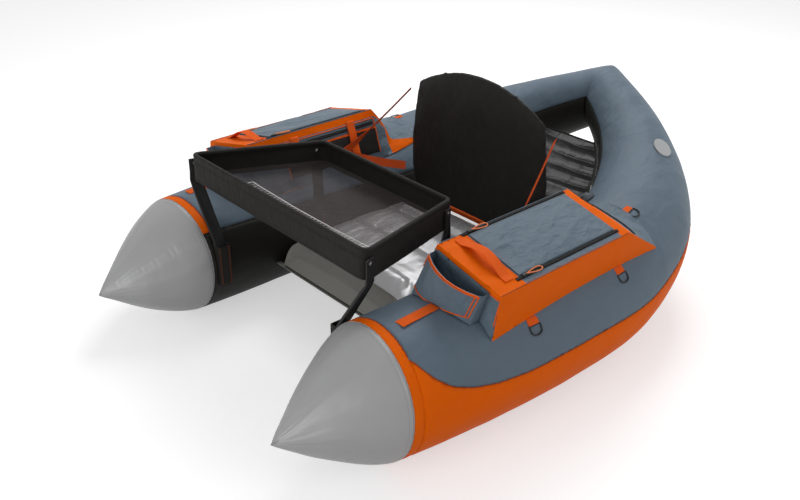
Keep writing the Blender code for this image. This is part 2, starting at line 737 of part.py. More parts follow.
def apron_outline(inset):
    """The apron's outline in plan with round corners, drawn in by an inset."""
    slope = (APRON_FRONT_HALF - APRON_REAR_HALF) / (APRON_REAR - APRON_FRONT)
    shift = inset * math.hypot(1, slope)
    front, rear = APRON_FRONT + inset, APRON_REAR - inset
    corners = [Vector((apron_half(front) - shift, front)), Vector((apron_half(rear) - shift, rear)),
               Vector((shift - apron_half(rear), rear)), Vector((shift - apron_half(front), front))]
    radius = max(APRON_CORNER - inset, APRON_ROD_RADIUS)
    outline = []
    for k, corner in enumerate(corners):
        before = (corners[k - 1] - corner).normalized()
        after = (corners[(k + 1) % 4] - corner).normalized()
        half_angle = before.angle(after) / 2
        centre = corner + (before + after).normalized() * radius / math.sin(half_angle)
        start = corner + before * radius / math.tan(half_angle) - centre
        end = corner + after * radius / math.tan(half_angle) - centre
        for step in range(APRON_CORNER_STEPS + 1):
            arm = start.lerp(end, step / APRON_CORNER_STEPS).normalized() * radius
            outline.append(centre + arm)
    return outline


def make_apron():
    outline = apron_outline(0.0)
    rim = [Vector((p.x, p.y, apron_rim(p.y))) for p in outline]
    rows = [rim + rim[:1], [p - UP * APRON_WALL_HEIGHT for p in rim + rim[:1]]]
    wall = sheet(rows)
    bmesh.ops.remove_doubles(wall, verts=wall.verts, dist=1e-6)
    bmesh.ops.recalc_face_normals(wall, faces=wall.faces)
    wall.faces.ensure_lookup_table()
    first = wall.faces[0]
    middle = Vector((0, (APRON_FRONT + APRON_REAR) / 2, first.calc_center_median().z))
    if first.normal.dot(first.calc_center_median() - middle) < 0:
        bmesh.ops.reverse_faces(wall, faces=wall.faces)
    solidify(mesh_object("apron_wall", wall, black_fabric), APRON_WALL)

    inset = APRON_WALL + FIT_GAP
    rows = []
    for j in range(APRON_FLOOR_CELLS + 1):
        y = lerp(APRON_FRONT + inset, APRON_REAR - inset, j / APRON_FLOOR_CELLS)
        half = apron_half(y) - inset * math.hypot(1, 1)
        if j in (0, APRON_FLOOR_CELLS):
            half -= 1.5 * APRON_CORNER
        row = []
        for i in range(APRON_FLOOR_CELLS + 1):
            across = 2 * i / APRON_FLOOR_CELLS - 1
            along = 2 * j / APRON_FLOOR_CELLS - 1
            sag = APRON_FLOOR_SAG * (1 - across**2) * (1 - along**2)
            row.append(Vector((across * half, y, apron_rim(y) - APRON_FLOOR_DEPTH - sag)))
        rows.append(row)
    solidify(mesh_object("apron_floor", sheet(rows), mesh_fabric), APRON_FLOOR, 0.0)

    rod_inset = APRON_WALL + FIT_GAP + APRON_ROD_RADIUS
    curve = bpy.data.curves.new("apron_frame", "CURVE")
    curve.dimensions = "3D"
    curve.bevel_depth = APRON_ROD_RADIUS
    curve.bevel_resolution = 2
    run = curve.splines.new("POLY")
    points = apron_outline(rod_inset)
    run.points.add(len(points) - 1)
    for target, p in zip(run.points, points):
        target.co = (p.x, p.y, apron_rim(p.y) - APRON_ROD_RADIUS - APRON_ROD_DROP, 1)
    run.use_cyclic_u = True
    curve.materials.append(aluminium)
    parts.objects.link(bpy.data.objects.new("apron_frame", curve))

    for side_name, side in SIDES:
        make_leg(f"leg_front_{side_name}", side, FRONT_LEG_Y, [FRONT_LEG_KNEE, FRONT_LEG_FOOT])
        make_leg(f"leg_rear_{side_name}", side, REAR_LEG_Y, [REAR_LEG_FOOT])
        make_sleeve(f"leg_sleeve_front_{side_name}", side, FRONT_LEG_Y, FRONT_LEG_X, FRONT_SLEEVE_SHARE)
        make_sleeve(f"leg_sleeve_rear_{side_name}", side, REAR_LEG_Y, REAR_LEG_X, REAR_SLEEVE_SHARE)


def make_leg(name, side, y, bends):
    """A flat bar from the apron's side wall down to its foot, twisted from the wall's line to the tube's."""
    slope = (APRON_FRONT_HALF - APRON_REAR_HALF) / (APRON_REAR - APRON_FRONT)
    along_wall = Vector((-slope, 1, 0))
    x = apron_half(y) + (LEG_THICKNESS / 2 + LEG_WALL_GAP) * math.hypot(1, slope)
    top = apron_rim(y)
    path = [Vector((x, y, top - LEG_TOP_DROP)), Vector((x, y, top - APRON_WALL_HEIGHT - LEG_BEND_CLEARANCE))]
    path += [Vector((px, y, pz)) for px, pz in bends]
    path.append(Vector((bends[-1][0], y, LEG_FOOT_Z)))
    across = [along_wall, along_wall] + [ALONG] * (len(path) - 2)
    return mesh_object(name, ribbon(path, across, LEG_WIDTH, LEG_THICKNESS), black_metal, side)


def make_sleeve(name, side, y, leg_x, height_share):
    """A pocket sewn to the tube's inner side, open above and towards the tube, that holds a leg's foot."""
    top = height_share * TUBE_RADIUS
    inner = leg_x - LEG_THICKNESS / 2 - SLEEVE_PLAY
    half = LEG_WIDTH / 2 + SLEEVE_SIDE_PLAY
    floor = LEG_FOOT_Z - FIT_GAP
    step = (top - floor + SLEEVE_FLOOR) / SLEEVE_STEPS
    rings = []
    for k in range(SLEEVE_STEPS + 1):
        z = floor - SLEEVE_FLOOR + step * k
        ring = []
        for y_share in (-1, 0, 1):
            place_y = y + y_share * (half + SLEEVE_WALL)
            nearest = min(hull_inner(place_y, z + reach) for reach in (-step / 2, 0, step / 2))
            ring.append(Vector((nearest - 2 * FIT_GAP, place_y, z)))
        outer = inner - SLEEVE_WALL
        ring += [Vector((outer, y + half + SLEEVE_WALL, z)), Vector((outer, y - half - SLEEVE_WALL, z))]
        rings.append(ring)
    made = mesh_object(name, loft(rings), black_fabric, side)
    cutter = bmesh.new()
    bmesh.ops.create_cube(cutter, size=1)
    depth, height = TUBE_RADIUS, top - floor + CUT_OVERRUN
    bmesh.ops.scale(cutter, vec=(depth, 2 * half, height), verts=cutter.verts)
    bmesh.ops.translate(cutter, vec=(inner + depth / 2, y, floor + height / 2), verts=cutter.verts)
    cut(made, cutter, side)
    return made


def cut(made, bm, side=1):
    """Cuts a bmesh out of an object."""
    if side < 0:
        bmesh.ops.scale(bm, vec=(-1, 1, 1), verts=bm.verts)
        bmesh.ops.reverse_faces(bm, faces=bm.faces)
    mesh = bpy.data.meshes.new(made.name + "_cutter")
    bm.to_mesh(mesh)
    bm.free()
    tool = bpy.data.objects.new(made.name + "_cutter", mesh)
    tool.hide_render = True
    tool.display_type = "WIRE"
    cutters.objects.link(tool)
    knife = made.modifiers.new("Cut", "BOOLEAN")
    knife.object = tool
    knife.operation = "DIFFERENCE"


def bag_rest(x, y):
    """The height at which a bag lies on the hull."""
    return hull_top(x, y) + BAG_REST


def tail_share(y):
    """How far down the bag's sloping rear y lies, from 0 at its top edge to 1 at its end."""
    return min(max((y - BAG_REAR_TOP) / (BAG_REAR - BAG_REAR_TOP), 0.0), 1.0)


def bag_top(x, y):
    """The bag's upper surface: leaning outward over its body, then down to the hull behind."""
    plane = TUBE_TOP + BAG_RISE_IN - BAG_LEAN * (x - BAG_TOP_IN)
    return lerp(plane, bag_rest(x, y) + BAG_TAIL_THICKNESS, tail_share(y))


def bag_face(y, z):
    """How far out the bag's leaning inner face lies."""
    low = bag_rest(BAG_FOOT_IN, y)
    return lerp(BAG_FOOT_IN, BAG_TOP_IN, (z - low) / (bag_top(BAG_TOP_IN, y) - low))


def lid_point(x, y, height):
    """A point at a height square to the bag's leaning top."""
    return Vector((x, y, bag_top(x, y))) + LEAN_UP * height


def bag_ring(y, open_depth):
    """The bag's section at y. Its opening is pressed down to the floor where open_depth is 1."""
    wide = []
    for k in range(BAG_COLUMNS + 1):
        across = 2 * k / BAG_COLUMNS - 1
        closer_at_sides = (across + math.sin(math.pi / 2 * across)) / 2
        wide.append(lerp(BAG_FOOT_IN, BAG_FOOT_OUT, (closer_at_sides + 1) / 2))
    ring = [Vector((x, y, bag_rest(x, y))) for x in wide]
    edges = [lerp(BAG_TOP_OUT, BAG_FOOT_OUT, tail_share(y)), LID_OUTER - LID_LAP]
    ring += [Vector((x, y, bag_top(x, y))) for x in edges]
    edges = [LID_INNER + LID_LAP, lerp(BAG_TOP_IN, BAG_FOOT_IN, tail_share(y))]
    for k in range(BAG_COLUMNS - 1):
        share = k / (BAG_COLUMNS - 2)
        x = lerp(LID_OUTER - LID_LAP - CAVITY_SLOPE, LID_INNER + LID_LAP + CAVITY_SLOPE, share)
        floor = bag_rest(x, y) + BAG_WALL
        ring.append(Vector((x, y, lerp(bag_top(x, y), floor, open_depth))))
    return ring + [Vector((x, y, bag_top(x, y))) for x in edges]


def make_bag(side_name, side):
    opening_front, opening_rear = LID_FRONT + LID_LAP, LID_REAR - LID_LAP
    stations = [(BAG_FRONT, 0), (opening_front, 0), (opening_front + CAVITY_SLOPE, 1)]
    for share in (0.16, 0.33, 0.5, 0.67, 0.84):
        stations.append((lerp(opening_front, opening_rear, share), 1))
    stations += [(opening_rear - CAVITY_SLOPE, 1), (opening_rear, 0), (BAG_REAR_TOP, 0)]
    for share in (0.25, 0.5, 0.75, 1.0):
        stations.append((lerp(BAG_REAR_TOP, BAG_REAR, share), 0))
    mesh_object(f"bag_body_{side_name}", loft([bag_ring(y, d) for y, d in stations]), orange_fabric, side)

    middle = (LID_INNER + LID_OUTER) / 2
    path = [lid_point(middle, y, FIT_GAP + LID_THICKNESS / 2) for y in (LID_FRONT, LID_REAR)]
    lid = ribbon(path, LEAN_ACROSS, (LID_OUTER - LID_INNER) / LEAN_ACROSS.x, LID_THICKNESS)
    lid = mesh_object(f"bag_lid_{side_name}", lid, grey_fabric, side)
    set_origin(lid, (side * middle, LID_REAR, path[1].z))

    make_pocket(f"bag_pocket_{side_name}", side)
    make_handle(f"bag_handle_{side_name}", side)
    beside = max(PULL_WIDTH / 2 + PULL_RADIUS, SLIDER_WIDTH / 2) + 2 * FIT_GAP
    make_slider(f"zip_pull_inner_{side_name}", side, LID_INNER - beside)
    make_slider(f"zip_pull_outer_{side_name}", side, LID_OUTER + beside)


def make_pocket(name, side):
    """The open pocket that bulges ahead of the bag's front face, wider at its rim than at its foot."""
    back = BAG_FRONT - FIT_GAP
    top_in, top_out = BAG_TOP_IN + POCKET_TOP_MARGIN_IN, BAG_TOP_OUT - POCKET_TOP_MARGIN_OUT
    foot_in, foot_out = BAG_FOOT_IN + POCKET_FOOT_MARGIN_IN, BAG_FOOT_OUT - POCKET_FOOT_MARGIN_OUT
    rings = []
    stations = [(0.0, 0)] + [(share, 1) for share in (0.03, 0.18, 0.34, 0.5, 0.66, 0.82, 0.97)] + [(1.0, 0)]
    for share, deep in stations:
        foot_x, top_x = lerp(foot_in, foot_out, share), lerp(top_in, top_out, share)
        front = back - lerp(POCKET_DEPTH_AT_END, POCKET_DEPTH, math.sin(math.pi * share) ** 0.8)
        rest = max(bag_rest(foot_x, back), bag_rest(foot_x, front))
        top = bag_top(top_x, BAG_FRONT) - POCKET_DROP
        floor = lerp(top, rest + POCKET_WALL, deep)
        inner_front, inner_back = front + POCKET_WALL, back - POCKET_WALL
        outline = ((back, rest), (front, rest), (front, top), (inner_front, top),
                   (inner_front + POCKET_WALL / 4, floor), (inner_back - POCKET_WALL / 4, floor),
                   (inner_back, top), (back, top))
        rings.append([Vector((lerp(foot_x, top_x, (z - rest) / (top - rest)), y, z)) for y, z in outline])
    return mesh_object(name, loft(rings), grey_fabric, side)


def make_handle(name, side):
    """A webbing handle, sewn down at both ends, that arches over the bag's front strip."""
    middle = (LID_INNER + LID_OUTER) / 2
    path = []
    for k in range(11):
        place_x = middle + (k / 10 - 1 / 2) * HANDLE_LENGTH
        from_end = HANDLE_LENGTH / 2 - abs(place_x - middle)
        rise = max(0.0, from_end - HANDLE_FOOT) / (HANDLE_LENGTH / 2 - HANDLE_FOOT)
        height = FIT_GAP + HANDLE_THICKNESS / 2 + HANDLE_RISE * math.sin(rise * math.pi / 2)
        path.append(lid_point(place_x, BAG_FRONT + HANDLE_SETBACK, height))
    return mesh_object(name, ribbon(path, ALONG, HANDLE_WIDTH, HANDLE_THICKNESS), orange_webbing, side)


def make_slider(name, side, x):
    """A zip's slider with the cord loop that pulls it."""
    lean = Matrix((LEAN_ACROSS, ALONG, LEAN_UP)).transposed().to_4x4()
    stand = Matrix.Translation(lid_point(x, LID_FRONT + SLIDER_SETBACK, FIT_GAP)) @ lean
    block = bmesh.new()
    bmesh.ops.create_cube(block, size=1)
    bmesh.ops.scale(block, vec=(SLIDER_WIDTH, SLIDER_LENGTH, SLIDER_HEIGHT), verts=block.verts)
    bmesh.ops.translate(block, vec=UP * SLIDER_HEIGHT / 2, verts=block.verts)
    bmesh.ops.transform(block, matrix=stand, verts=block.verts)
    made = mesh_object(name, block, black_plastic, side)

    outline = []
    for k in range(12):
        turn = 2 * math.pi * k / 12
        wide = PULL_WIDTH / 2 * math.sin(turn)
        outline.append(Vector((wide, PULL_LENGTH / 2 * (1 - math.cos(turn)), SLIDER_HEIGHT - PULL_RADIUS * 2)))
    rings = []
    for k, here in enumerate(outline):
        way = (outline[(k + 1) % 12] - outline[k - 1]).normalized()
        out = way.cross(UP)
        ring = []
        for corner in range(6):
            a = math.tau * corner / 6
            ring.append(stand @ (here + (out * math.cos(a) + UP * math.sin(a)) * PULL_RADIUS))
        rings.append(ring)
    loop = loft(rings, cyclic=True)
    if side < 0:
        bmesh.ops.scale(loop, vec=(-1, 1, 1), verts=loop.verts)
        bmesh.ops.reverse_faces(loop, faces=loop.faces)
    mesh = bpy.data.meshes.new(name + "_loop")
    loop.to_mesh(mesh)
    loop.free()
    cord = bpy.data.objects.new(name + "_loop", mesh)
    cord.hide_render = True
    cord.display_type = "WIRE"
    cutters.objects.link(cord)
    join = made.modifiers.new("Loop", "BOOLEAN")
    join.object = cord
    join.operation = "UNION"
    return made


def skin_ribbon(points, normals, across, width, thickness, lift):
    """A webbing strip that follows points of the skin."""
    path = [p + n * (lift + thickness / 2) for p, n in zip(points, normals)]
    return ribbon(path, across, width, thickness)


def make_front_tab(name, side):
    """The webbing strip on the tube's top ahead of the bag."""
    x = STRAIGHT_X - FRONT_TAB_REACH_IN
    rear = BAG_FRONT - POCKET_DEPTH - 3 * FIT_GAP
    points = []
    for k in range(5):
        y = lerp(rear - FRONT_TAB_LENGTH, rear, k / 4)
        highest = max(hull_top(x + reach, y) for reach in (-TAB_WIDTH / 2, 0, TAB_WIDTH / 2))
        points.append(Vector((x, y, highest)))
    return mesh_object(name, skin_ribbon(points, [UP] * 5, ACROSS, TAB_WIDTH, TAB_THICKNESS, TAB_LIFT),
                       orange_webbing, side)


def ring_outline():
    """The D-ring's outline: its bar on the X axis, its bow towards +Y."""
    half, corner = RING_BAR / 2, RING_BAR * RING_CORNER_SHARE
    points = [Vector((-half, 0, 0)), Vector((0, 0, 0)), Vector((half, 0, 0))]
    for k in range(9):
        turn = math.pi * k / 8
        points.append(Vector((half * math.cos(turn), corner + (RING_DEPTH - corner) * math.sin(turn), 0)))
    return points


def make_ring(number, side_name, side):
    """A D-ring hanging from a webbing tab on the tube's outer shoulder."""
    if number < len(SIDE_RING_SHARES):
        share = share_at(BAG_FRONT + SIDE_RING_SHARES[number] * BAG_LENGTH)
        top = angle_at_x(share, BAG_FOOT_OUT + 2 * TAB_LIFT)
    else:
        share = REAR_RING_SHARE
        top = REAR_RING_ANGLE
    radius = on_run(share)[1]
    fall = math.degrees(RING_TAB_LENGTH / radius)
    angle = top - fall
    angles = [lerp(top, angle, k / 3) for k in range(4)]
    frames = [surface_frame(share, a) for a in angles]
    points = [origin for origin, _ in frames]
    normals = [turn @ UP for _, turn in frames]
    way = frames[0][1] @ ACROSS
    tab = skin_ribbon(points, normals, way, TAB_WIDTH, TAB_THICKNESS, TAB_LIFT)
    mesh_object(f"ring_tab_{number + 1}_{side_name}", tab, orange_webbing, side)

    curve = bpy.data.curves.new(f"d_ring_{number + 1}_{side_name}", "CURVE")
    curve.dimensions = "3D"
    curve.bevel_depth = RING_WIRE
    curve.bevel_resolution = 1
    run = curve.splines.new("POLY")
    outline = ring_outline()
    run.points.add(len(outline) - 1)
    for target, p in zip(run.points, outline):
        target.co = (*p, 1)
    run.use_cyclic_u = True
    curve.materials.append(black_metal)
    ring = bpy.data.objects.new(f"d_ring_{number + 1}_{side_name}", curve)
    parts.objects.link(ring)
    below = math.degrees((RING_WIRE + FIT_GAP) / radius)
    place(ring, share, angle - below, TAB_LIFT + RING_WIRE, side, (RING_BAR / 2, RING_WIRE))


def make_deck():
    """The dark sheet laced between the tubes behind the backrest."""
    heights = []
    for y, angle in ((DECK_FRONT, DECK_FRONT_ANGLE), (DECK_REAR, DECK_REAR_ANGLE)):
        centre, radius, _ = on_run(share_at(y))
        heights.append(centre.z + radius * math.sin(math.radians(angle)))
    rows = []
    for j in range(DECK_ROWS):
        share = j / (DECK_ROWS - 1)
        y = lerp(DECK_FRONT, DECK_REAR, share)
        z = lerp(*heights, share)
        edge = min(hull_inner(y, z + dz) for dz in (-DECK_THICKNESS, 0, DECK_THICKNESS)) - 2 * FIT_GAP
        row = []
        for i in range(DECK_COLUMNS + 1):
            across = 2 * i / DECK_COLUMNS - 1
            sag = DECK_SAG * (1 - across**2) * math.sin(math.pi * (0.15 + 0.7 * share))
            row.append(Vector((across * edge, y, z - sag)))
        rows.append(row)
    solidify(mesh_object("rear_deck", sheet(rows), black_fabric), DECK_THICKNESS, 0.0)


for old in list(bpy.data.objects):
    bpy.data.objects.remove(old)
parts = bpy.data.collections.new("float_tube")
cutters = bpy.data.collections.new("cutters")
bpy.context.scene.collection.children.link(parts)
bpy.context.scene.collection.children.link(cutters)

grey_fabric = material("Grey coated fabric", (0.125, 0.155, 0.190), 0.55)
orange_fabric = material("Orange coated fabric", (0.62, 0.125, 0.015), 0.5)
orange_webbing = material("Orange webbing", (0.62, 0.10, 0.015), 0.7)
silver_fabric = material("Silver coated fabric", (0.35, 0.35, 0.36), 0.4)
black_fabric = material("Black fabric", (0.012, 0.011, 0.010), 0.6)
mesh_fabric = material("Dark mesh", (0.02, 0.02, 0.02), 0.7)
rubber = material("Bladder film", (0.30, 0.30, 0.30), 0.5)
black_plastic = material("Black plastic", (0.015, 0.015, 0.015), 0.45)
black_metal = material("Black coated metal", (0.012, 0.012, 0.012), 0.4)
aluminium = material("Aluminium tube", (0.6, 0.6, 0.6), 0.35, 1.0)
plate = material("Bright plate", (0.55, 0.55, 0.55), 0.3, 1.0)

make_hull()
make_badges_and_valves()
make_seat()
make_backrest()
make_apron()
make_deck()
for label, sign in SIDES:
    make_strap(f"backrest_strap_{label}", sign)
    make_bag(label, sign)
    make_front_tab(f"front_tab_{label}", sign)
    for index in range(len(SIDE_RING_SHARES) + 1):
        make_ring(index, label, sign)
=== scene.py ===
# %% [markdown]
# # A fishing float tube
#
# A float tube is a one-person boat: two air tubes that turn up and meet behind the sitter, a seat
# between them, a small tray to lay a fish or a fly box on, and two zipped bags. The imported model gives
# every piece its place and size. This file gives each piece its cloth, seams and folds. All lengths
# are in metres, the sitter looks along -Y, and +X is the sitter's left.

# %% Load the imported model
import math

import bmesh
import bpy
import numpy as np
from mathutils import Matrix, Vector, noise
from mathutils.bvhtree import BVHTree


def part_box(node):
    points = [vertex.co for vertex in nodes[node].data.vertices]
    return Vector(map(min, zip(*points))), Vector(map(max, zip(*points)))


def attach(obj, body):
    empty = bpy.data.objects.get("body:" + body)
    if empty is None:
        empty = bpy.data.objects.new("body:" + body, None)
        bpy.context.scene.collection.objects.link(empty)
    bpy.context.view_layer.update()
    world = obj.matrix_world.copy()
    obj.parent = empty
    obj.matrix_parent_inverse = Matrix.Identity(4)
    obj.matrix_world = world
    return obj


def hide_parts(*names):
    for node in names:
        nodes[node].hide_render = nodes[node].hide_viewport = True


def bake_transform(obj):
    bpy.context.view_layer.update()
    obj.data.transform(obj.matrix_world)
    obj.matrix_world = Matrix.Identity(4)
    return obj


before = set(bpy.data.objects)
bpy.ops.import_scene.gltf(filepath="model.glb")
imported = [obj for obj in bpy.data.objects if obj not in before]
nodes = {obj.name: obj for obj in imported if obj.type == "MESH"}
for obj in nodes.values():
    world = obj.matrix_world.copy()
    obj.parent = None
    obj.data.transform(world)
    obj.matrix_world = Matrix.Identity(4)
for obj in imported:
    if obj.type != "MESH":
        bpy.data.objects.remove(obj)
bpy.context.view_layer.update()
SIDES = (("left", 1), ("right", -1))
UP, DOWNWARD, ACROSS = Vector((0, 0, 1)), (0, 0, -1), Vector((1, 0, 0))
print("pieces in the packed model:", len(nodes))

# %% [markdown]
# ## Camera
#
# The camera's place, turn and lens were fitted until the model lay on the photographed object. The turn
# is given as an azimuth round the object, an elevation above the horizon and a small roll, all in
# radians, because those three are easier to read and to correct than a matrix.

# %% The camera
CAMERA_PLACE = Vector((1.5374, -1.5206, 1.3137))
AZIMUTH, ELEVATION, ROLL = 0.8434, 0.4941, 0.0105
FOCAL_PIXELS, PHOTO_WIDTH = 919.75, 800
SHIFT_RIGHT, SHIFT_UP = 11.36, -2.96

back = Vector((math.sin(AZIMUTH) * math.cos(ELEVATION), -math.cos(AZIMUTH) * math.cos(ELEVATION),
               math.sin(ELEVATION)))
level = Vector((math.cos(AZIMUTH), math.sin(AZIMUTH), 0))
upward = back.cross(level)
camera_right = level * math.cos(ROLL) + upward * math.sin(ROLL)
camera_up = back.cross(camera_right)
turn = Matrix((camera_right, camera_up, back)).transposed().to_4x4()

camera_data = bpy.data.cameras.new("camera")
camera_data.sensor_width = 36
camera_data.lens = FOCAL_PIXELS / PHOTO_WIDTH * camera_data.sensor_width
camera_data.shift_x = SHIFT_RIGHT / PHOTO_WIDTH
camera_data.shift_y = SHIFT_UP / PHOTO_WIDTH
camera = bpy.data.objects.new("camera", camera_data)
camera.matrix_world = Matrix.Translation(CAMERA_PLACE) @ turn
bpy.context.scene.collection.objects.link(camera)
bpy.context.scene.camera = camera
print("lens in millimetres:", round(camera_data.lens, 2))

# %% [markdown]
# ## Floor and light
#
# The photograph is a catalogue picture on white. A wide pale floor with one large soft lamp overhead, a
# weaker one from the side and an even sky gives that look, and keeps a soft shadow under the tubes. The
# floor glows a little for the camera alone, so it reads as white without more light on the object.

# %% The studio
SKY_LIGHT, FLOOR_GREY, FLOOR_GLOW = 0.42, 0.62, 0.52
bpy.context.scene.view_settings.view_transform = "Standard"


def seen_ray(tree):
    """1 for camera, glossy and transmission rays, so metal reflects the same white as the camera sees."""
    path = tree.nodes.new("ShaderNodeLightPath")
    first = tree.nodes.new("ShaderNodeMath")
    first.operation = "MAXIMUM"
    second = tree.nodes.new("ShaderNodeMath")
    second.operation = "MAXIMUM"
    tree.links.new(path.outputs["Is Camera Ray"], first.inputs[0])
    tree.links.new(path.outputs["Is Glossy Ray"], first.inputs[1])
    tree.links.new(first.outputs[0], second.inputs[0])
    tree.links.new(path.outputs["Is Transmission Ray"], second.inputs[1])
    return second.outputs[0]


world = bpy.data.worlds.new("studio")
world.use_nodes = True
bpy.context.scene.world = world
sky = world.node_tree.nodes["Background"]
sky.inputs["Color"].default_value = (1, 1, 1, 1)
sky_level = world.node_tree.nodes.new("ShaderNodeMapRange")
sky_level.inputs["To Min"].default_value = SKY_LIGHT
sky_level.inputs["To Max"].default_value = 1.0
world.node_tree.links.new(seen_ray(world.node_tree), sky_level.inputs["Value"])
world.node_tree.links.new(sky_level.outputs[0], sky.inputs["Strength"])

floor_finish = bpy.data.materials.new("studio floor")
floor_finish.use_nodes = True
floor_shader = floor_finish.node_tree.nodes["Principled BSDF"]
floor_shader.inputs["Base Color"].default_value = (FLOOR_GREY, FLOOR_GREY, FLOOR_GREY, 1)
floor_shader.inputs["Roughness"].default_value = 0.9
floor_shader.inputs["Emission Color"].default_value = (1, 1, 1, 1)
glow = floor_finish.node_tree.nodes.new("ShaderNodeMath")
glow.operation = "MULTIPLY"
glow.inputs[1].default_value = FLOOR_GLOW
floor_finish.node_tree.links.new(seen_ray(floor_finish.node_tree), glow.inputs[0])
floor_finish.node_tree.links.new(glow.outputs[0], floor_shader.inputs["Emission Strength"])

floor_mesh = bpy.data.meshes.new("studio_floor")
floor_mesh.from_pydata([(-20, -20, 0), (20, -20, 0), (20, 20, 0), (-20, 20, 0)], [], [(0, 1, 2, 3)])
floor_mesh.materials.append(floor_finish)
studio_floor = bpy.data.objects.new("studio_floor", floor_mesh)
studio_floor.location.z = -0.001
bpy.context.scene.collection.objects.link(studio_floor)


def lamp(name, place, target, size, power):
    """A square soft lamp that looks at a point."""
    data = bpy.data.lights.new(name, "AREA")
    data.size = size
    data.energy = power
    made = bpy.data.objects.new(name, data)
    made.location = place
    made.rotation_euler = (Vector(target) - Vector(place)).to_track_quat("-Z", "Y").to_euler()
    bpy.context.scene.collection.objects.link(made)
    return made


lamp("overhead", (-1.0, 1.5, 2.9), (0, 0.1, 0.2), 1.8, 66)
lamp("side", (2.6, 0.4, 1.5), (0, 0, 0.2), 1.4, 13)
lamp("front", (0.3, -3.0, 0.7), (0, -0.2, 0.15), 1.6, 30)

# %% [markdown]
# ## Shared shader groups
#
# Every cloth on this boat is woven, gathers dust and fades a little where it is rubbed. Those effects
# are built once, as node groups with named inputs, and each finish below gives them its own values. The
# weave needs no unwrapping: three sets of threads run along the object's own axes, and any face shows
# two of them.

# %% Group: threads of a weave


def new_group(name, inputs, outputs):
    """An empty shader group with float inputs (name, value) and outputs (name, socket type)."""
    tree = bpy.data.node_groups.new(name, "ShaderNodeTree")
    for label, value in inputs:
        kind = "NodeSocketColor" if isinstance(value, tuple) else "NodeSocketFloat"
        socket = tree.interface.new_socket(label, in_out="INPUT", socket_type=kind)
        socket.default_value = value
    for label, kind in outputs:
        tree.interface.new_socket(label, in_out="OUTPUT", socket_type=kind)
    start = tree.nodes.new("NodeGroupInput")
    end = tree.nodes.new("NodeGroupOutput")
    return tree, start, end


def math_node(tree, operation, first, second=0.0):
    """A Math node between two sockets or numbers. Returns its output."""
    made = tree.nodes.new("ShaderNodeMath")
    made.operation = operation
    for slot, value in enumerate((first, second)):
        if isinstance(value, (int, float)):
            made.inputs[slot].default_value = value
        else:
            tree.links.new(value, made.inputs[slot])
    return made.outputs[0]


weave, weave_in, weave_out = new_group("Weave", [("Threads per metre", 900.0)],
                                       [("Height", "NodeSocketFloat")])
place = weave.nodes.new("ShaderNodeTexCoord")
split = weave.nodes.new("ShaderNodeSeparateXYZ")
weave.links.new(place.outputs["Object"], split.inputs[0])
threads = []
for axis in range(3):
    angle = math_node(weave, "MULTIPLY", split.outputs[axis], weave_in.outputs[0])
    wave = math_node(weave, "SINE", math_node(weave, "MULTIPLY", angle, math.tau))
    threads.append(math_node(weave, "ABSOLUTE", wave))
crossing = math_node(weave, "ADD", math_node(weave, "MULTIPLY", threads[0], threads[1]),
                     math_node(weave, "MULTIPLY", threads[1], threads[2]))
crossing = math_node(weave, "ADD", crossing, math_node(weave, "MULTIPLY", threads[0], threads[2]))
weave.links.new(math_node(weave, "MULTIPLY", crossing, 1 / 3), weave_out.inputs["Height"])
print("weave group nodes:", len(weave.nodes))

# %% Group: slack folds, dust and fading
folds, folds_in, folds_out = new_group("Slack folds", [("Size", 9.0), ("Stretch", 2.0)],
                                       [("Height", "NodeSocketFloat")])
place = folds.nodes.new("ShaderNodeTexCoord")
stretch = folds.nodes.new("ShaderNodeVectorMath")
stretch.operation = "MULTIPLY"
folds.links.new(place.outputs["Object"], stretch.inputs[0])
axes = folds.nodes.new("ShaderNodeCombineXYZ")
folds.links.new(folds_in.outputs["Stretch"], axes.inputs["X"])
axes.inputs["Y"].default_value = 1.0
axes.inputs["Z"].default_value = 1.0
folds.links.new(axes.outputs[0], stretch.inputs[1])
rumple = folds.nodes.new("ShaderNodeTexNoise")
rumple.inputs["Detail"].default_value = 3.0
rumple.inputs["Roughness"].default_value = 0.45
rumple.inputs["Distortion"].default_value = 0.35
folds.links.new(stretch.outputs[0], rumple.inputs["Vector"])
folds.links.new(folds_in.outputs["Size"], rumple.inputs["Scale"])
folds.links.new(rumple.outputs["Fac"], folds_out.inputs["Height"])

dust, dust_in, dust_out = new_group("Dust and fading", [("Patch size", 7.0), ("Amount", 0.35)],
                                    [("Mask", "NodeSocketFloat")])
place = dust.nodes.new("ShaderNodeTexCoord")
patches = dust.nodes.new("ShaderNodeTexNoise")
patches.inputs["Detail"].default_value = 6.0
patches.inputs["Roughness"].default_value = 0.62
dust.links.new(place.outputs["Object"], patches.inputs["Vector"])
dust.links.new(dust_in.outputs["Patch size"], patches.inputs["Scale"])
clear = dust.nodes.new("ShaderNodeMapRange")
clear.inputs["From Min"].default_value = 0.35
clear.inputs["From Max"].default_value = 0.75
dust.links.new(patches.outputs["Fac"], clear.inputs["Value"])
dust.links.new(math_node(dust, "MULTIPLY", clear.outputs[0], dust_in.outputs["Amount"]),
               dust_out.inputs["Mask"])
print("groups:", [g.name for g in bpy.data.node_groups])

# %% Group: rubbed edges
rub, rub_in, rub_out = new_group("Rubbed edges", [("Amount", 0.5)], [("Mask", "NodeSocketFloat")])
shape = rub.nodes.new("ShaderNodeNewGeometry")
edge = rub.nodes.new("ShaderNodeMapRange")
edge.inputs["From Min"].default_value = 0.52
edge.inputs["From Max"].default_value = 0.62
rub.links.new(shape.outputs["Pointiness"], edge.inputs["Value"])
rub.links.new(math_node(rub, "MULTIPLY", edge.outputs[0], rub_in.outputs["Amount"]), rub_out.inputs["Mask"])

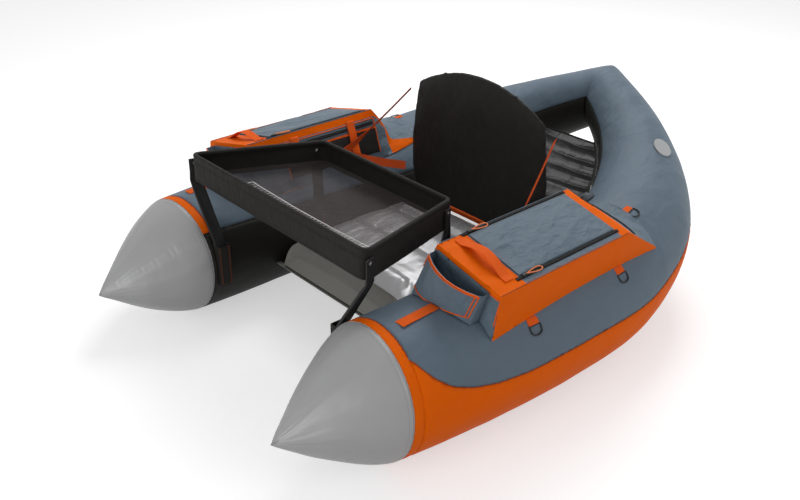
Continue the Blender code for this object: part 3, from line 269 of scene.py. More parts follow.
# %% [markdown]
# ## Finishes
#
# Each cloth is one Principled material: its own colour, a paler colour where it has faded or dust lies
# on it, a roughness that changes in the same patches, and a bump from its weave over broad slack folds.
# Colours are given as they look on screen and turned into the linear values that the shader wants.

# %% Finishes of cloth


def linear(red, green, blue):
    """A colour read from 0 to 255 on screen, as linear values."""
    values = []
    for channel in (red, green, blue):
        c = channel / 255
        values.append(c / 12.92 if c <= 0.04045 else ((c + 0.055) / 1.055) ** 2.4)
    return (*values, 1.0)


def group_node(tree, group, **values):
    made = tree.nodes.new("ShaderNodeGroup")
    made.node_tree = group
    for label, value in values.items():
        made.inputs[label.replace("_", " ")].default_value = value
    return made


def cloth(name, colour, faded, roughness, threads, weave_depth, fold_size=9.0, fold_depth=0.0, amount=0.35,
          shine=0.15, metal=0.0):
    """A woven finish. The depths are in metres."""
    made = bpy.data.materials.new(name)
    made.use_nodes = True
    tree = made.node_tree
    shader = tree.nodes["Principled BSDF"]
    patches = group_node(tree, dust, Patch_size=6.0, Amount=amount)
    tint = tree.nodes.new("ShaderNodeMix")
    tint.data_type = "RGBA"
    tint.inputs["A"].default_value = colour
    tint.inputs["B"].default_value = faded
    tree.links.new(patches.outputs["Mask"], tint.inputs["Factor"])
    tree.links.new(tint.outputs["Result"], shader.inputs["Base Color"])
    rough = tree.nodes.new("ShaderNodeMapRange")
    rough.inputs["To Min"].default_value = roughness
    rough.inputs["To Max"].default_value = min(roughness + 0.2, 1.0)
    tree.links.new(patches.outputs["Mask"], rough.inputs["Value"])
    tree.links.new(rough.outputs[0], shader.inputs["Roughness"])
    shader.inputs["Specular IOR Level"].default_value = shine
    shader.inputs["Metallic"].default_value = metal
    fine = tree.nodes.new("ShaderNodeBump")
    fine.inputs["Distance"].default_value = weave_depth
    woven = group_node(tree, weave, Threads_per_metre=threads)
    tree.links.new(woven.outputs["Height"], fine.inputs["Height"])
    if fold_depth:
        broad = tree.nodes.new("ShaderNodeBump")
        broad.inputs["Distance"].default_value = fold_depth
        tree.links.new(group_node(tree, folds, Size=fold_size).outputs["Height"], broad.inputs["Height"])
        tree.links.new(broad.outputs[0], fine.inputs["Normal"])
    tree.links.new(fine.outputs[0], shader.inputs["Normal"])
    return made


grey_cloth = cloth("Grey coated cloth", linear(91, 106, 119), linear(104, 118, 130), 0.45, 420, 0.00018,
                   fold_size=8, fold_depth=0.012)
orange_cloth = cloth("Orange coated cloth", linear(226, 96, 3), linear(230, 106, 14), 0.5, 420, 0.00018,
                     fold_size=8, fold_depth=0.012, amount=0.25, shine=0.04)
silver_cloth = cloth("Silver coated cloth", linear(148, 148, 149), linear(158, 158, 157), 0.4, 520, 0.00008,
                     fold_size=4, fold_depth=0.009, shine=0.5, metal=0.25)
black_cloth = cloth("Black cloth", linear(24, 23, 21), linear(36, 34, 32), 0.55, 420, 0.0002,
                    fold_size=10, fold_depth=0.006)
bag_cloth = cloth("Grey bag cloth", linear(93, 108, 120), linear(108, 121, 132), 0.5, 620, 0.00015,
                  fold_size=22, fold_depth=0.010)
orange_webbing = cloth("Orange webbing", linear(226, 92, 24), linear(232, 112, 50), 0.7, 330, 0.0004,
                       shine=0.1)
# The seat's top: the silver cloth in a lighter colour, a painted highlight.
silver_seat_highlight = cloth("Silver seat top, painted highlight", linear(176, 176, 178), linear(184, 184, 184), 0.26, 520, 0.00008,
                    fold_size=6, fold_depth=0.011, shine=0.5, metal=0.25)
# The seat's front: the silver cloth in a darker, duller grey, a painted shade.
silver_front_shade = cloth("Silver seat front, painted shade", linear(112, 111, 106), linear(124, 123, 118), 0.6, 420, 0.0002,
                    fold_size=8, fold_depth=0.006)
film = cloth("Bladder film", linear(150, 150, 150), linear(170, 170, 170), 0.4, 100, 0.00002)
print("finishes:", sorted(m.name for m in bpy.data.materials))

# %% [markdown]
# ## The tubes
#
# Each tube is a long balloon inside a sewn cover, so its section is round, its run is a smooth curve and
# its seams pucker. The model's hull follows seven stations, with a centre, a keel height and a radius
# at each. The same stations are used here with the same parabola through their neighbours, but the skin
# is sampled far more finely, which leaves no flat facets.

# %% The run of the tubes
LENGTH, WIDTH, TUBE_RADIUS, TAIL_RISE = 1.548, 1.152, 0.165, 0.346
STRAIGHT_X = WIDTH / 2 - TUBE_RADIUS
STATIONS = (
    (0.930, -0.348, 0.035, 0.907),
    (0.974, -0.191, -0.006, 0.970),
    (0.997, -0.035, -0.012, 1.000),
    (0.975, 0.118, 0.012, 0.997),
    (0.846, 0.260, 0.225, 0.875),
    (0.523, 0.373, 0.600, 0.652),
    (0.000, 0.4467, 1.000, 0.481),
)
NOSE_TIP = Vector((0.883 * STRAIGHT_X, -0.5 * LENGTH, 0.139))
CONE_FULLNESS = 1.35
knots = [Vector((x * STRAIGHT_X, y * LENGTH, keel * TAIL_RISE + r * TUBE_RADIUS, r * TUBE_RADIUS))
         for x, y, keel, r in STATIONS]
lengths = [0.0]
for a, b in zip(knots, knots[1:]):
    lengths.append(lengths[-1] + (b.xyz - a.xyz).length)


def slope_at(k):
    """The rate of change at a station, from the parabola through it and its neighbours."""
    first = min(max(k - 1, 0), len(knots) - 3)
    t0, t1, t2 = lengths[first:first + 3]
    p0, p1, p2 = knots[first:first + 3]
    rate = (p1 - p0) / (t1 - t0)
    bend = ((p2 - p1) / (t2 - t1) - rate) / (t2 - t0)
    return rate + bend * (2 * lengths[k] - t0 - t1)


slopes = [slope_at(k) for k in range(len(knots))]


def tube_at(share):
    """Centre, radius, outward and upward directions and the way along, at a share of the run. Shares
    under 0 lie on the nose cone."""
    along = max(share, 0.0) * lengths[-1]
    k = max(i for i in range(len(lengths) - 1) if lengths[i] <= along + 1e-9)
    gap = lengths[k + 1] - lengths[k]
    u = (along - lengths[k]) / gap
    p, q, a, b = knots[k], knots[k + 1], slopes[k] * gap, slopes[k + 1] * gap
    value = p + a * u + (3 * (q - p) - 2 * a - b) * u**2 + (2 * (p - q) + a + b) * u**3
    way = (a + 2 * (3 * (q - p) - 2 * a - b) * u + 3 * (2 * (p - q) + a + b) * u**2).xyz.normalized()
    centre, radius = value.xyz, value.w
    if share < 0:
        centre = centre.lerp(NOSE_TIP, -share)
        radius *= 1 - (-share) ** CONE_FULLNESS
    out = way.cross(UP).normalized()
    return centre, radius, out, out.cross(way), way


def skin(share, angle, lift=0.0):
    """A point of the cover, with the angle in degrees up from the tube's outer side."""
    centre, radius, out, up, way = tube_at(share)
    a = math.radians(angle)
    point = centre + (out * math.cos(a) + up * math.sin(a)) * (radius + lift)
    if share >= 1.0:
        point -= way * (point.x / way.x)
        point.x = 0.0
    point.z = max(point.z, max(lift, 0.0))
    return point


print("length of one tube's run:", round(lengths[-1], 3))

# %% [markdown]
# ## The cover of the tubes
#
# The cover is cut from four cloths. Grey lies on top, orange runs along the outer side and makes a narrow
# collar at the front, black faces the sitter, and a silver cone closes each nose. Each panel is one grid
# of points between two seams, thickened inward. Near a seam the cloth puckers, and over the open
# stretches it has a slow, uneven slack, so the skin is moved out and in by a few tenths of a millimetre.

# %% Seams and slack of the cover
COLLAR_END, TAIL_START, BOTTOM_SEAM = 0.0165, 0.952, -78.0
COLLAR_SEAM, INNER_SEAM, INNER_SEAM_TURN = 55.0, 139.0, 28.0
SEAM_SHARES = (0.0, COLLAR_END, 0.035, 0.064, 0.10, 0.143, 0.20, 1.0)
SEAM_ANGLES = (COLLAR_SEAM, COLLAR_SEAM, 36.0, 22.0, 14.0, 9.0, 6.0, 6.0)
CLOTH_THICKNESS = 0.0012


def outer_seam(share):
    """The angle of the grey and orange panels' seam, smoothed over its cut corners."""
    window = [share + step * 0.003 for step in range(-3, 4)]
    return float(np.mean(np.interp(window, SEAM_SHARES, SEAM_ANGLES)))


def inner_seam(share):
    """The angle of the seam between the grey top and the black inner panel."""
    return INNER_SEAM + INNER_SEAM_TURN * min(max(share, 0.0), 1.0)


def pucker(along, away):
    """The small gathers beside a seam: along and away are metres from its start and from its line."""
    beat = math.sin(along * 420 + 2.2 * noise.noise(Vector((along * 40, 0, 0))))
    return 0.0007 * beat * math.exp(-((away / 0.011) ** 2)) - 0.0012 * math.exp(-((away / 0.004) ** 2))


def relief(share, angle, point, radius):
    """How far the cloth stands off the round tube at a place of the cover."""
    height = 0.0016 * noise.noise(point * 6.0) + 0.0006 * noise.noise(point * 17.0)
    along = share * lengths[-1]
    bend = radius * math.radians(1)
    if share > COLLAR_END:
        height += pucker(along, abs(angle - outer_seam(share)) * bend)
    height += pucker(along, abs(angle - inner_seam(share)) * bend)
    height += pucker(math.radians(angle) * radius, abs(share) * lengths[-1])
    if share > 0:
        height += pucker(math.radians(angle) * radius, abs(share - COLLAR_END) * lengths[-1])
    if share < 0:
        near_tip = -share
        fold = noise.noise(Vector((angle / 21.0, near_tip * 1.3, 4.0)))
        height += 0.0045 * fold * math.sin(math.pi * min(near_tip + 0.08, 1.0))
        height += 0.0018 * noise.noise(Vector((angle / 7.0, near_tip * 4.0, 9.0))) * near_tip
    return height


def cover(share, angle, lift=0.0, plain=False):
    """A point of the finished cover. The last stretch closes smoothly on the middle plane."""
    if share > TAIL_START:
        start, end = skin(TAIL_START, angle, lift), skin(1.0, angle, lift)
        way = (start - skin(TAIL_START - 0.01, angle, lift)) * ((1 - TAIL_START) / 0.01)
        t = (share - TAIL_START) / (1 - TAIL_START)
        point = (start * (2 * t**3 - 3 * t**2 + 1) + way * (t**3 - 2 * t**2 + t) * 0.5
                 + end * (3 * t**2 - 2 * t**3) + (end - start) * (t**3 - t**2) * 0.6)
        point.x = max(point.x, 0.0)
    else:
        point = skin(share, angle, lift)
    centre, radius, out, up, way = tube_at(min(share, 0.99999))
    if plain or radius < 0.002:
        return point
    normal = (point - centre).normalized()
    rise = relief(share, angle, point, radius)
    if share > 0.97:
        rise *= (1 - share) / 0.03
        rise -= 0.002 * math.exp(-(((1 - share) * lengths[-1] / 0.008) ** 2))
    moved = point + normal * rise
    moved.z = max(moved.z, 0.0)
    return moved


def add_piece(name, mesh, *finishes):
    """A new object of the scene with its finishes."""
    for finish in finishes:
        mesh.materials.append(finish)
    made = bpy.data.objects.new(name, mesh)
    bpy.context.scene.collection.objects.link(made)
    return made


def smooth(mesh, degrees=60):
    """Smooth shading, with a crease wherever two faces meet at more than the angle."""
    mesh.shade_smooth()
    mesh.set_sharp_from_angle(angle=math.radians(degrees))


def mesh_of(name, bm):
    """Turns a bmesh into a mesh and frees it."""
    mesh = bpy.data.meshes.new(name)
    bm.to_mesh(mesh)
    bm.free()
    return mesh


def grid_mesh(bm, rows, closed=False):
    """Adds faces over rows of points to a bmesh. Closed rows are rings."""
    grid = [[bm.verts.new(p) for p in row] for row in rows]
    for low, high in zip(grid, grid[1:]):
        count = len(low) if closed else len(low) - 1
        for k in range(count):
            n = (k + 1) % len(low)
            bm.faces.new((low[k], high[k], high[n], low[n]))


def cap_ends(bm, count):
    """Closes the first and the last ring of a tube, each of count points."""
    bm.verts.ensure_lookup_table()
    bm.faces.new(bm.verts[:count][::-1])
    bm.faces.new(bm.verts[-count:])


def cover_rows(first, last, low, high, row_count, column_count):
    """Rows of the cover between two shares of the run and two seams."""
    rows = []
    for j in range(row_count + 1):
        share = first + (last - first) * j / row_count
        start, end = low(share), high(share)
        angles = [start + (end - start) * k / column_count for k in range(column_count + 1)]
        rows.append([cover(share, angle) for angle in angles])
    return rows


def thicken(piece, thickness):
    """Gives a sheet its thickness, inward from its face."""
    slab = piece.modifiers.new("cloth", "SOLIDIFY")
    slab.thickness, slab.offset = thickness, -1.0


def cover_panel(name, strips, both, finish, replaced, side=1):
    """A panel of the cover from its strips. It lies on both tubes, joined at the tail, or on one."""
    bm = bmesh.new()
    for strip in strips:
        grid_mesh(bm, cover_rows(*strip))
    bmesh.ops.remove_doubles(bm, verts=bm.verts, dist=0.0002)
    if both:
        half = bm.faces[:] + bm.edges[:] + bm.verts[:]
        copy = bmesh.ops.duplicate(bm, geom=half)["geom"]
        flipped = [g for g in copy if isinstance(g, bmesh.types.BMVert)]
        bmesh.ops.scale(bm, vec=(-1, 1, 1), verts=flipped)
        bmesh.ops.reverse_faces(bm, faces=[g for g in copy if isinstance(g, bmesh.types.BMFace)])
        bmesh.ops.remove_doubles(bm, verts=bm.verts, dist=0.0002)
    elif side < 0:
        bmesh.ops.scale(bm, vec=(-1, 1, 1), verts=bm.verts)
        bmesh.ops.reverse_faces(bm, faces=bm.faces)
    mesh = mesh_of(name, bm)
    smooth(mesh)
    made = add_piece(name, mesh, finish)
    thicken(made, CLOTH_THICKNESS)
    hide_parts(replaced)
    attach(made, "hull")
    return made


# %% The panels
def floor_seam(_share):
    """The bottom seam keeps one angle along the whole run."""
    return BOTTOM_SEAM


def floor_seam_round(_share):
    """The bottom seam again, after a full turn."""
    return BOTTOM_SEAM + 360.0


top_strip = (COLLAR_END, 1.0, outer_seam, inner_seam, 170, 44)
collar_strip = (0.0, COLLAR_END, floor_seam, inner_seam, 6, 84)
side_strip = (COLLAR_END, 1.0, floor_seam, outer_seam, 170, 34)
inner_strip = (0.0, 1.0, inner_seam, floor_seam_round, 150, 34)
nose_strip = (-1.0, 0.0, floor_seam, floor_seam_round, 60, 120)
top_cover = cover_panel("grey_top_cover", [top_strip], True, grey_cloth, "top_panel")
cover_panel("orange_side_cover", [collar_strip, side_strip], True, orange_cloth, "side_panel")
for side_name, side in SIDES:
    cover_panel(f"black_inner_cover_{side_name}", [inner_strip], False, black_cloth,
                f"inner_panel_{side_name}", side)
    cover_panel(f"silver_nose_{side_name}", [nose_strip], False, silver_cloth, f"nose_cone_{side_name}", side)
print("points in the grey cover:", len(top_cover.data.vertices))

# %% [markdown]
# ## Bladders, piping and stitches
#
# Under the cover, each tube has a bladder of thin film that holds the air. It only shows where the cover
# is unzipped, so it is a plain smooth balloon a little smaller than the cover. Along the seams runs a
# thin cord of piping with a row of stitches beside it. Piping is a round tube swept along the seam, and
# each stitch is a small capsule, since a painted line would vanish in close views.

# %% Sweeps and stitches


def smooth_piece(name, bm, finish, body):
    """A bmesh as a smooth piece that rides on a body."""
    mesh = mesh_of(name, bm)
    mesh.shade_smooth()
    made = add_piece(name, mesh, finish)
    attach(made, body)
    return made


def join_rings(bm, rings):
    """Adds a band of faces between each ring of points and the next."""
    for low, high in zip(rings, rings[1:]):
        for k in range(len(low)):
            n = (k + 1) % len(low)
            bm.faces.new((low[k], low[n], high[n], high[k]))


def sweep(name, path, radius, finish, sides=6, closed=False, body="hull"):
    """A round cord through points, as one mesh with closed ends."""
    path = [Vector(p) for p in path]
    bm = bmesh.new()
    rings = []
    count = len(path)
    normal = None
    for k, here in enumerate(path):
        before = path[k - 1] if (k or closed) else here
        after = path[(k + 1) % count] if (k < count - 1 or closed) else here
        way = (after - before).normalized()
        if normal is None:
            normal = way.orthogonal().normalized()
        normal = (normal - way * normal.dot(way)).normalized()
        across = way.cross(normal)
        ring = []
        for corner in range(sides):
            a = math.tau * corner / sides
            ring.append(bm.verts.new(here + (normal * math.cos(a) + across * math.sin(a)) * radius))
        rings.append(ring)
    if closed:
        rings.append(rings[0])
    join_rings(bm, rings)
    if not closed:
        bm.faces.new(rings[0][::-1])
        bm.faces.new(rings[-1])
    return smooth_piece(name, bm, finish, body)


def resample(path, step):
    """Points at an even spacing along a path, with the way at each."""
    path = [Vector(p) for p in path]
    spots, carry = [], step / 2
    for a, b in zip(path, path[1:]):
        gap = (b - a).length
        while carry <= gap and gap > 0:
            spots.append((a.lerp(b, carry / gap), (b - a) / gap))
            carry += step
        carry -= gap
    return spots


def stitches(name, paths, finish, step=0.0062, length=0.0038, radius=0.00042, body="hull"):
    """Rows of stitches along paths, as one mesh of small five-sided capsules."""
    bm = bmesh.new()
    for path in paths:
        for spot, way in resample(path, step):
            side = way.orthogonal().normalized()
            over = way.cross(side)
            rings = []
            for share, size in ((-0.5, 0.35), (-0.3, 1.0), (0.3, 1.0), (0.5, 0.35)):
                ring = []
                for corner in range(5):
                    a = math.tau * corner / 5
                    ring.append(bm.verts.new(spot + way * (length * share)
                                             + (side * math.cos(a) + over * math.sin(a)) * (radius * size)))
                rings.append(ring)
            join_rings(bm, rings)
            bm.faces.new(rings[0][::-1])
            bm.faces.new(rings[-1])
    return smooth_piece(name, bm, finish, body)


def turned(point, side):
    """A point of the left half, or its mirror image for side -1."""
    return Vector((point[0] * side, point[1], point[2]))


# %% Bladders and the cover's seams
orange_thread = cloth("Orange thread", linear(196, 92, 46), linear(214, 120, 70), 0.6, 900, 0.00005)
grey_thread = cloth("Grey thread", linear(120, 124, 128), linear(140, 143, 146), 0.6, 900, 0.00005)
dark_piping = cloth("Dark orange piping", linear(150, 62, 24), linear(170, 84, 44), 0.6, 700, 0.0001)
BLADDER_GAP, BLADDER_NOSE, BLADDER_SIDES, MIDDLE_GAP = 0.0050, -0.93, 36, 0.0008


def bladder_place(share, angle, side):
    """A point of the bladder's film, which stays on its own side of the middle plane."""
    point = turned(cover(min(share, 1.0), angle, -BLADDER_GAP, True), side)
    if abs(point.x) < MIDDLE_GAP:
        point.x = MIDDLE_GAP * side
    return point


for side_name, side in SIDES:
    bm = bmesh.new()
    shares = [BLADDER_NOSE + (1 - BLADDER_NOSE) * j / 80 for j in range(81)]
    turns = [BOTTOM_SEAM + 10 * k for k in range(BLADDER_SIDES)]
    grid_mesh(bm, [[bladder_place(s, angle, side) for angle in turns] for s in shares], closed=True)
    cap_ends(bm, BLADDER_SIDES)
    bmesh.ops.recalc_face_normals(bm, faces=bm.faces)
    bladder = smooth_piece(f"air_bladder_{side_name}", bm, film, "hull")
    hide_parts(f"bladder_{side_name}")

    shares = [COLLAR_END + (1 - COLLAR_END) * k / 160 for k in range(161)]
    outer_line = [turned(cover(s, outer_seam(s)), side) for s in shares]
    inner_line = [turned(cover(s, inner_seam(s)), side) for s in [k / 160 for k in range(161)]]
    collar_line = [turned(cover(COLLAR_END, COLLAR_SEAM + 84 * k / 40), side) for k in range(41)]
    nose_line = [turned(cover(0.0, BOTTOM_SEAM + 360 * k / 120), side) for k in range(120)]
    sweep(f"seam_piping_outer_{side_name}", outer_line, 0.0013, dark_piping)
    sweep(f"seam_piping_inner_{side_name}", inner_line, 0.0011, black_cloth)
    sweep(f"seam_piping_collar_{side_name}", collar_line, 0.0013, dark_piping)
    sweep(f"seam_piping_nose_{side_name}", nose_line, 0.0012, silver_cloth, closed=True)
    below = [turned(cover(s, outer_seam(s) - 2.4), side) for s in shares]
    behind = [turned(cover(-0.045, BOTTOM_SEAM + 360 * k / 120), side) for k in range(121)]
    collar_edge = [turned(cover(COLLAR_END * 0.72, 40 + 99 * k / 60), side) for k in range(61)]
    stitches(f"seam_stitches_orange_{side_name}", [below, collar_edge], orange_thread)
    stitches(f"seam_stitches_silver_{side_name}", [behind], grey_thread)
seam_length = sum((b - a).length for a, b in zip(outer_line, outer_line[1:]))
print("length of the outer seam:", round(seam_length, 2))

# %% [markdown]
# ## Seat and backrest
#
# Both are padding in a sewn cover. A padded thing is hard to model by hand, because its cloth is
# stretched by what is inside it. So a shape a little smaller than the cushion is given to the cloth
# solver, which blows it up from within like a balloon, and the result is kept as plain mesh. Seams and
# channels are pressed in afterwards, since the solver's even grid would smooth them away. The seat's
# upper front is drawn forward to stand upright under a piped edge. The seat's silver is lighter on its top,
# as painted highlight, and darker and duller on its front, as painted shade.

# %% Helpers for soft pieces
VOXEL = 0.0075


def solid_copy(node):
    """The outer shape of a CAD node as a bmesh, with its flat faces merged."""
    bm = bmesh.new()
    bm.from_mesh(nodes[node].data)
    bmesh.ops.remove_doubles(bm, verts=bm.verts, dist=0.00002)
    bmesh.ops.dissolve_limit(bm, angle_limit=math.radians(1.5), verts=bm.verts, edges=bm.edges)
    return bm


def finish_mesh(name, bm, finish, body, node, degrees=50):
    """Turns a bmesh into a piece, which may stand for a CAD node."""
    mesh = mesh_of(name, bm)
    smooth(mesh, degrees)
    finishes = finish if isinstance(finish, (list, tuple)) else [finish]
    made = add_piece(name, mesh, *finishes)
    if node:
        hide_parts(node)
    if body:
        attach(made, body)
    return made


def apply_modifiers(piece):
    """Replaces the piece's mesh by what its modifiers make of it."""
    graph = bpy.context.evaluated_depsgraph_get()
    made = bpy.data.meshes.new_from_object(piece.evaluated_get(graph))
    piece.modifiers.clear()
    old = piece.data
    piece.data = made
    bpy.data.meshes.remove(old)


def remeshed(name, bm, finish):
    """A piece with the bmesh's shape in small even cells, as the cloth solver needs."""
    made = add_piece(name, mesh_of(name, bm), finish)
    grid = made.modifiers.new("grid", "REMESH")
    grid.mode, grid.voxel_size = "VOXEL", VOXEL
    apply_modifiers(made)
    return made


def draw_in(mesh, depth):
    """Moves every point inward along its normal, which leaves room for the swelling."""
    normals = [v.normal.copy() for v in mesh.vertices]
    for vert, normal in zip(mesh.vertices, normals):
        vert.co -= normal * depth


def inflate(piece, pressure, cap, floor):
    """Blows the piece up with the cloth solver. No point may move further than the cap, and those
    below the floor are held."""
    before = [v.co.copy() for v in piece.data.vertices]
    solver = piece.modifiers.new("swell", "CLOTH")
    solver.settings.use_pressure = True
    solver.settings.uniform_pressure_force = pressure
    solver.settings.effector_weights.gravity = 0
    solver.settings.quality = 8
    group = piece.vertex_groups.new(name="held")
    group.add([v.index for v in piece.data.vertices if v.co.z < floor], 1.0, "REPLACE")
    solver.settings.vertex_group_mass = "held"
    scene = bpy.context.scene
    for step in range(1, 21):
        scene.frame_set(step)
    apply_modifiers(piece)
    scene.frame_set(1)
    moved = 0.0
    for vert, start in zip(piece.data.vertices, before):
        move = vert.co - start
        if not math.isfinite(move.length):
            vert.co = start
        elif move.length > cap:
            vert.co = start + move * (cap / move.length)
        moved = max(moved, (vert.co - start).length)
    print(piece.name, "swelled by up to", round(moved * 1000, 1), "mm")


def subdivide_once(piece):
    """Halves the piece's cells and rounds them, as its last shape."""
    fine = piece.modifiers.new("fine", "SUBSURF")
    fine.levels = fine.render_levels = 1
    apply_modifiers(piece)


# %% The seat cushion
CHANNELS, CHANNEL_DEPTH, FRONT_PANEL = 4, 0.0065, 0.046
FRONT_FROM, FRONT_TO = (0.0, 0.036, 0.10, 1.0), (0.0, 0.013, 0.10, 1.0)
seat_low, seat_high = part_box("seat_cushion")
seat_length = seat_high.y - seat_low.y
# The seat's skin takes the lighter silver of its painted highlight.
seat = remeshed("channelled_seat", solid_copy("seat_cushion"), silver_seat_highlight)
draw_in(seat.data, 0.004)
inflate(seat, 3.0, 0.007, seat_low.z + 0.010)
subdivide_once(seat)
for vert in seat.data.vertices:
    along = (vert.co.y - seat_low.y) / seat_length
    on_top = min(max((vert.co.z - seat_low.z - 0.045) / 0.02, 0.0), 1.0)
    across = vert.co.x / seat_high.x
    wave = abs(math.cos(math.pi * CHANNELS * along)) ** 10
    tuck = 1 + 0.25 * noise.noise(Vector((vert.co.x * 14, round(along * CHANNELS), 0)))
    groove = CHANNEL_DEPTH * wave * tuck * (1 - across**8)
    vert.co.z -= on_top * (groove + 0.0015 * noise.noise(vert.co * 12))
    vert.co.z = max(vert.co.z, seat_low.z)
    vert.co.y = seat_low.y + float(np.interp(vert.co.y - seat_low.y, FRONT_FROM, FRONT_TO))
    side_pull = 0.004 * (1 - (2 * min(max(along, 0), 1) - 1) ** 6)
    vert.co.x *= 1 - side_pull * wave
seat.data.shade_smooth()
# The faces of the seat's front take the painted shade.
seat.data.materials.append(silver_front_shade)
for face in seat.data.polygons:
    face.material_index = int(face.center.y < seat_low.y + FRONT_PANEL)
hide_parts("seat_cushion")
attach(seat, "hull")
print("points in the seat:", len(seat.data.vertices))

# %% Piping and stitches of the seat


def surface_of(piece):
    """A search tree of the piece's surface, for laying piping and stitches on it."""
    corners = [v.co.copy() for v in piece.data.vertices]
    return BVHTree.FromPolygons(corners, [tuple(p.vertices) for p in piece.data.polygons])


def on_piece(tree, point, way, lift):
    """Where a ray from the point meets a piece, a little off its surface."""
    hit, normal, _, _ = tree.ray_cast(Vector(point), Vector(way))
    return None if hit is None else hit + normal * lift


def from_above(tree, x, y, lift):
    """Where a point dropped from above meets a piece."""
    return on_piece(tree, (x, y, 1.0), DOWNWARD, lift)


def skipped(path):
    """The path without the points that met nothing."""
    return [p for p in path if p is not None]


tree = surface_of(seat)
front_line = [from_above(tree, x, seat_low.y + FRONT_PANEL, 0.0008) for x in np.linspace(-0.21, 0.21, 40)]
# The front's piping takes the same painted shade.
sweep("seat_front_piping", skipped(front_line), 0.0014, silver_front_shade)
for number in range(1, CHANNELS):
    y = seat_low.y + seat_length * number / CHANNELS
    row = skipped([from_above(tree, x, y, 0.0003) for x in np.linspace(-0.205, 0.205, 60)])
    stitches(f"seat_channel_stitches_{number}", [row], grey_thread, step=0.007)
print("seams across the seat:", CHANNELS - 1)

# %% The backrest's pad
back_pad = remeshed("backrest_pad", solid_copy("backrest_cushion"), black_cloth)
draw_in(back_pad.data, 0.0035)
back_low, back_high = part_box("backrest_cushion")
inflate(back_pad, 4.0, 0.006, back_low.z + 0.006)
subdivide_once(back_pad)
for vert in back_pad.data.vertices:
    vert.co.y += 0.0010 * noise.noise(vert.co * 9) + 0.0005 * noise.noise(vert.co * 25)
back_pad.data.shade_smooth()
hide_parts("backrest_cushion")
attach(back_pad, "backrest")

# %% Piping and stitches of the backrest
HEIGHT_SHARES = (0.0, 0.24, 0.5, 0.78, 1.0)
WIDTH_SHARES = (0.884, 0.992, 1.0, 0.956, 0.904)
SIDE_HEIGHT, CROWN = 0.341, 0.068


def back_edge(share, across):
    """A point of the backrest's outline in X and Z, at a share of its height and of its half width."""
    half = back_high.x * np.interp(share, HEIGHT_SHARES, WIDTH_SHARES)
    return half * across, back_low.z + share * (SIDE_HEIGHT + CROWN * (1 - across**2))


pad_tree = surface_of(back_pad)
back_middle = (back_low.z + back_high.z) / 2
rim = [back_edge(s, -1) for s in np.linspace(0.03, 0.97, 30)]
rim += [back_edge(0.985, a) for a in np.linspace(-0.96, 0.96, 40)]
rim += [back_edge(s, 1) for s in np.linspace(0.97, 0.03, 30)]


def line_on_pad(start_y, way, narrower, lower, lift):
    """The outline drawn in towards the middle and laid on one face of the pad."""
    return skipped([on_piece(pad_tree, (x * narrower, start_y, back_middle + (z - back_middle) * lower),
                             (0, way, 0), lift) for x, z in rim])


for label, start_y, way in (("front", back_low.y - 0.1, 1), ("rear", back_high.y + 0.1, -1)):
    sweep(f"backrest_piping_{label}", line_on_pad(start_y, way, 0.972, 0.976, 0.0004), 0.0017, black_cloth,
          body="backrest")
    stitches(f"backrest_stitches_{label}", [line_on_pad(start_y, way, 0.95, 0.957, 0.0002)], black_cloth,
             body="backrest")
print("points in the backrest's outline:", len(rim))

# %% [markdown]
# ## Webbing
#
# Handles, straps and tabs are woven tape, a millimetre or two thick, with rounded edges. The imported
# model already has each tape's path, so its solid is kept as the form and its edges are rounded by a
# bevel. Doing it from the solid keeps every tape exactly on what carries it. The small tabs of the
# rings are swelled a little, because they look thicker.

# %% Tapes from their solids


def divide(bm, cell, rounds):
    """Cuts the faces into triangles, and long edges in half, until none is longer than the cell."""
    bmesh.ops.triangulate(bm, faces=bm.faces)
    for _ in range(rounds):
        long_edges = [e for e in bm.edges if e.calc_length() > cell]
        if not long_edges:
            break
        bmesh.ops.subdivide_edges(bm, edges=long_edges, cuts=1)
        bmesh.ops.triangulate(bm, faces=[f for f in bm.faces if len(f.verts) > 3])
    bm.normal_update()


def push(bm, amount):
    """Moves each point along its normal by what the function gives for its place and normal."""
    moves = [v.normal * amount(v.co, v.normal) for v in bm.verts]
    for vert, move in zip(bm.verts, moves):
        vert.co += move


def tape(name, node, cell=0.010, swell=0.0):
    """A webbing piece with rounded edges. Its whole skin can be swelled."""
    bm = solid_copy(node)
    edges = [e for e in bm.edges if e.is_manifold and e.calc_face_angle(0) > math.radians(40)]
    bmesh.ops.bevel(bm, geom=edges, offset=0.0004, segments=2, profile=0.6, affect="EDGES",
                    clamp_overlap=True)
    divide(bm, cell, 4)
    if swell:
        push(bm, lambda place, normal: swell)
    finish_mesh(name, bm, orange_webbing, "hull", node, 45)


for side_name, side in SIDES:
    tape(f"webbing_front_tab_{side_name}", f"front_tab_{side_name}")
    for number in (1, 2, 3):
        tape(f"webbing_ring_tab_{number}_{side_name}", f"ring_tab_{number}_{side_name}", 0.004, 0.0018)
    tape(f"webbing_handle_{side_name}", f"bag_handle_{side_name}", 0.006)
tape("webbing_seat_band", "seat_rear_band")

# %% [markdown]
# ## Apron
#
# The apron is a tray in front of the sitter: a rod bent into a frame, a low cloth wall whose top hem
# wraps the rod, and a see-through mesh floor. The wall is one closed strip: its section runs up the
# outside, round the rod and down the inside, and is carried round the rim. Small uneven waves between
# the hem and the lower edge keep it from looking like sheet metal.

# %% The rim's outline
APRON_FRONT, APRON_REAR = -0.5090, -0.1680
APRON_HALVES, APRON_HEIGHTS = (0.3337, 0.2337), (0.456, 0.433)
ROD_IN, ROD_DOWN, HEM_RADIUS = 0.0058, 0.0066, 0.0056


def apron_half(y):
    """Half of the apron's width at a place along it."""
    return float(np.interp(y, (APRON_FRONT, APRON_REAR), APRON_HALVES))


def apron_rim(y):
    """The height of the apron's rim at a place along it."""
    return float(np.interp(y, (APRON_FRONT, APRON_REAR), APRON_HEIGHTS))


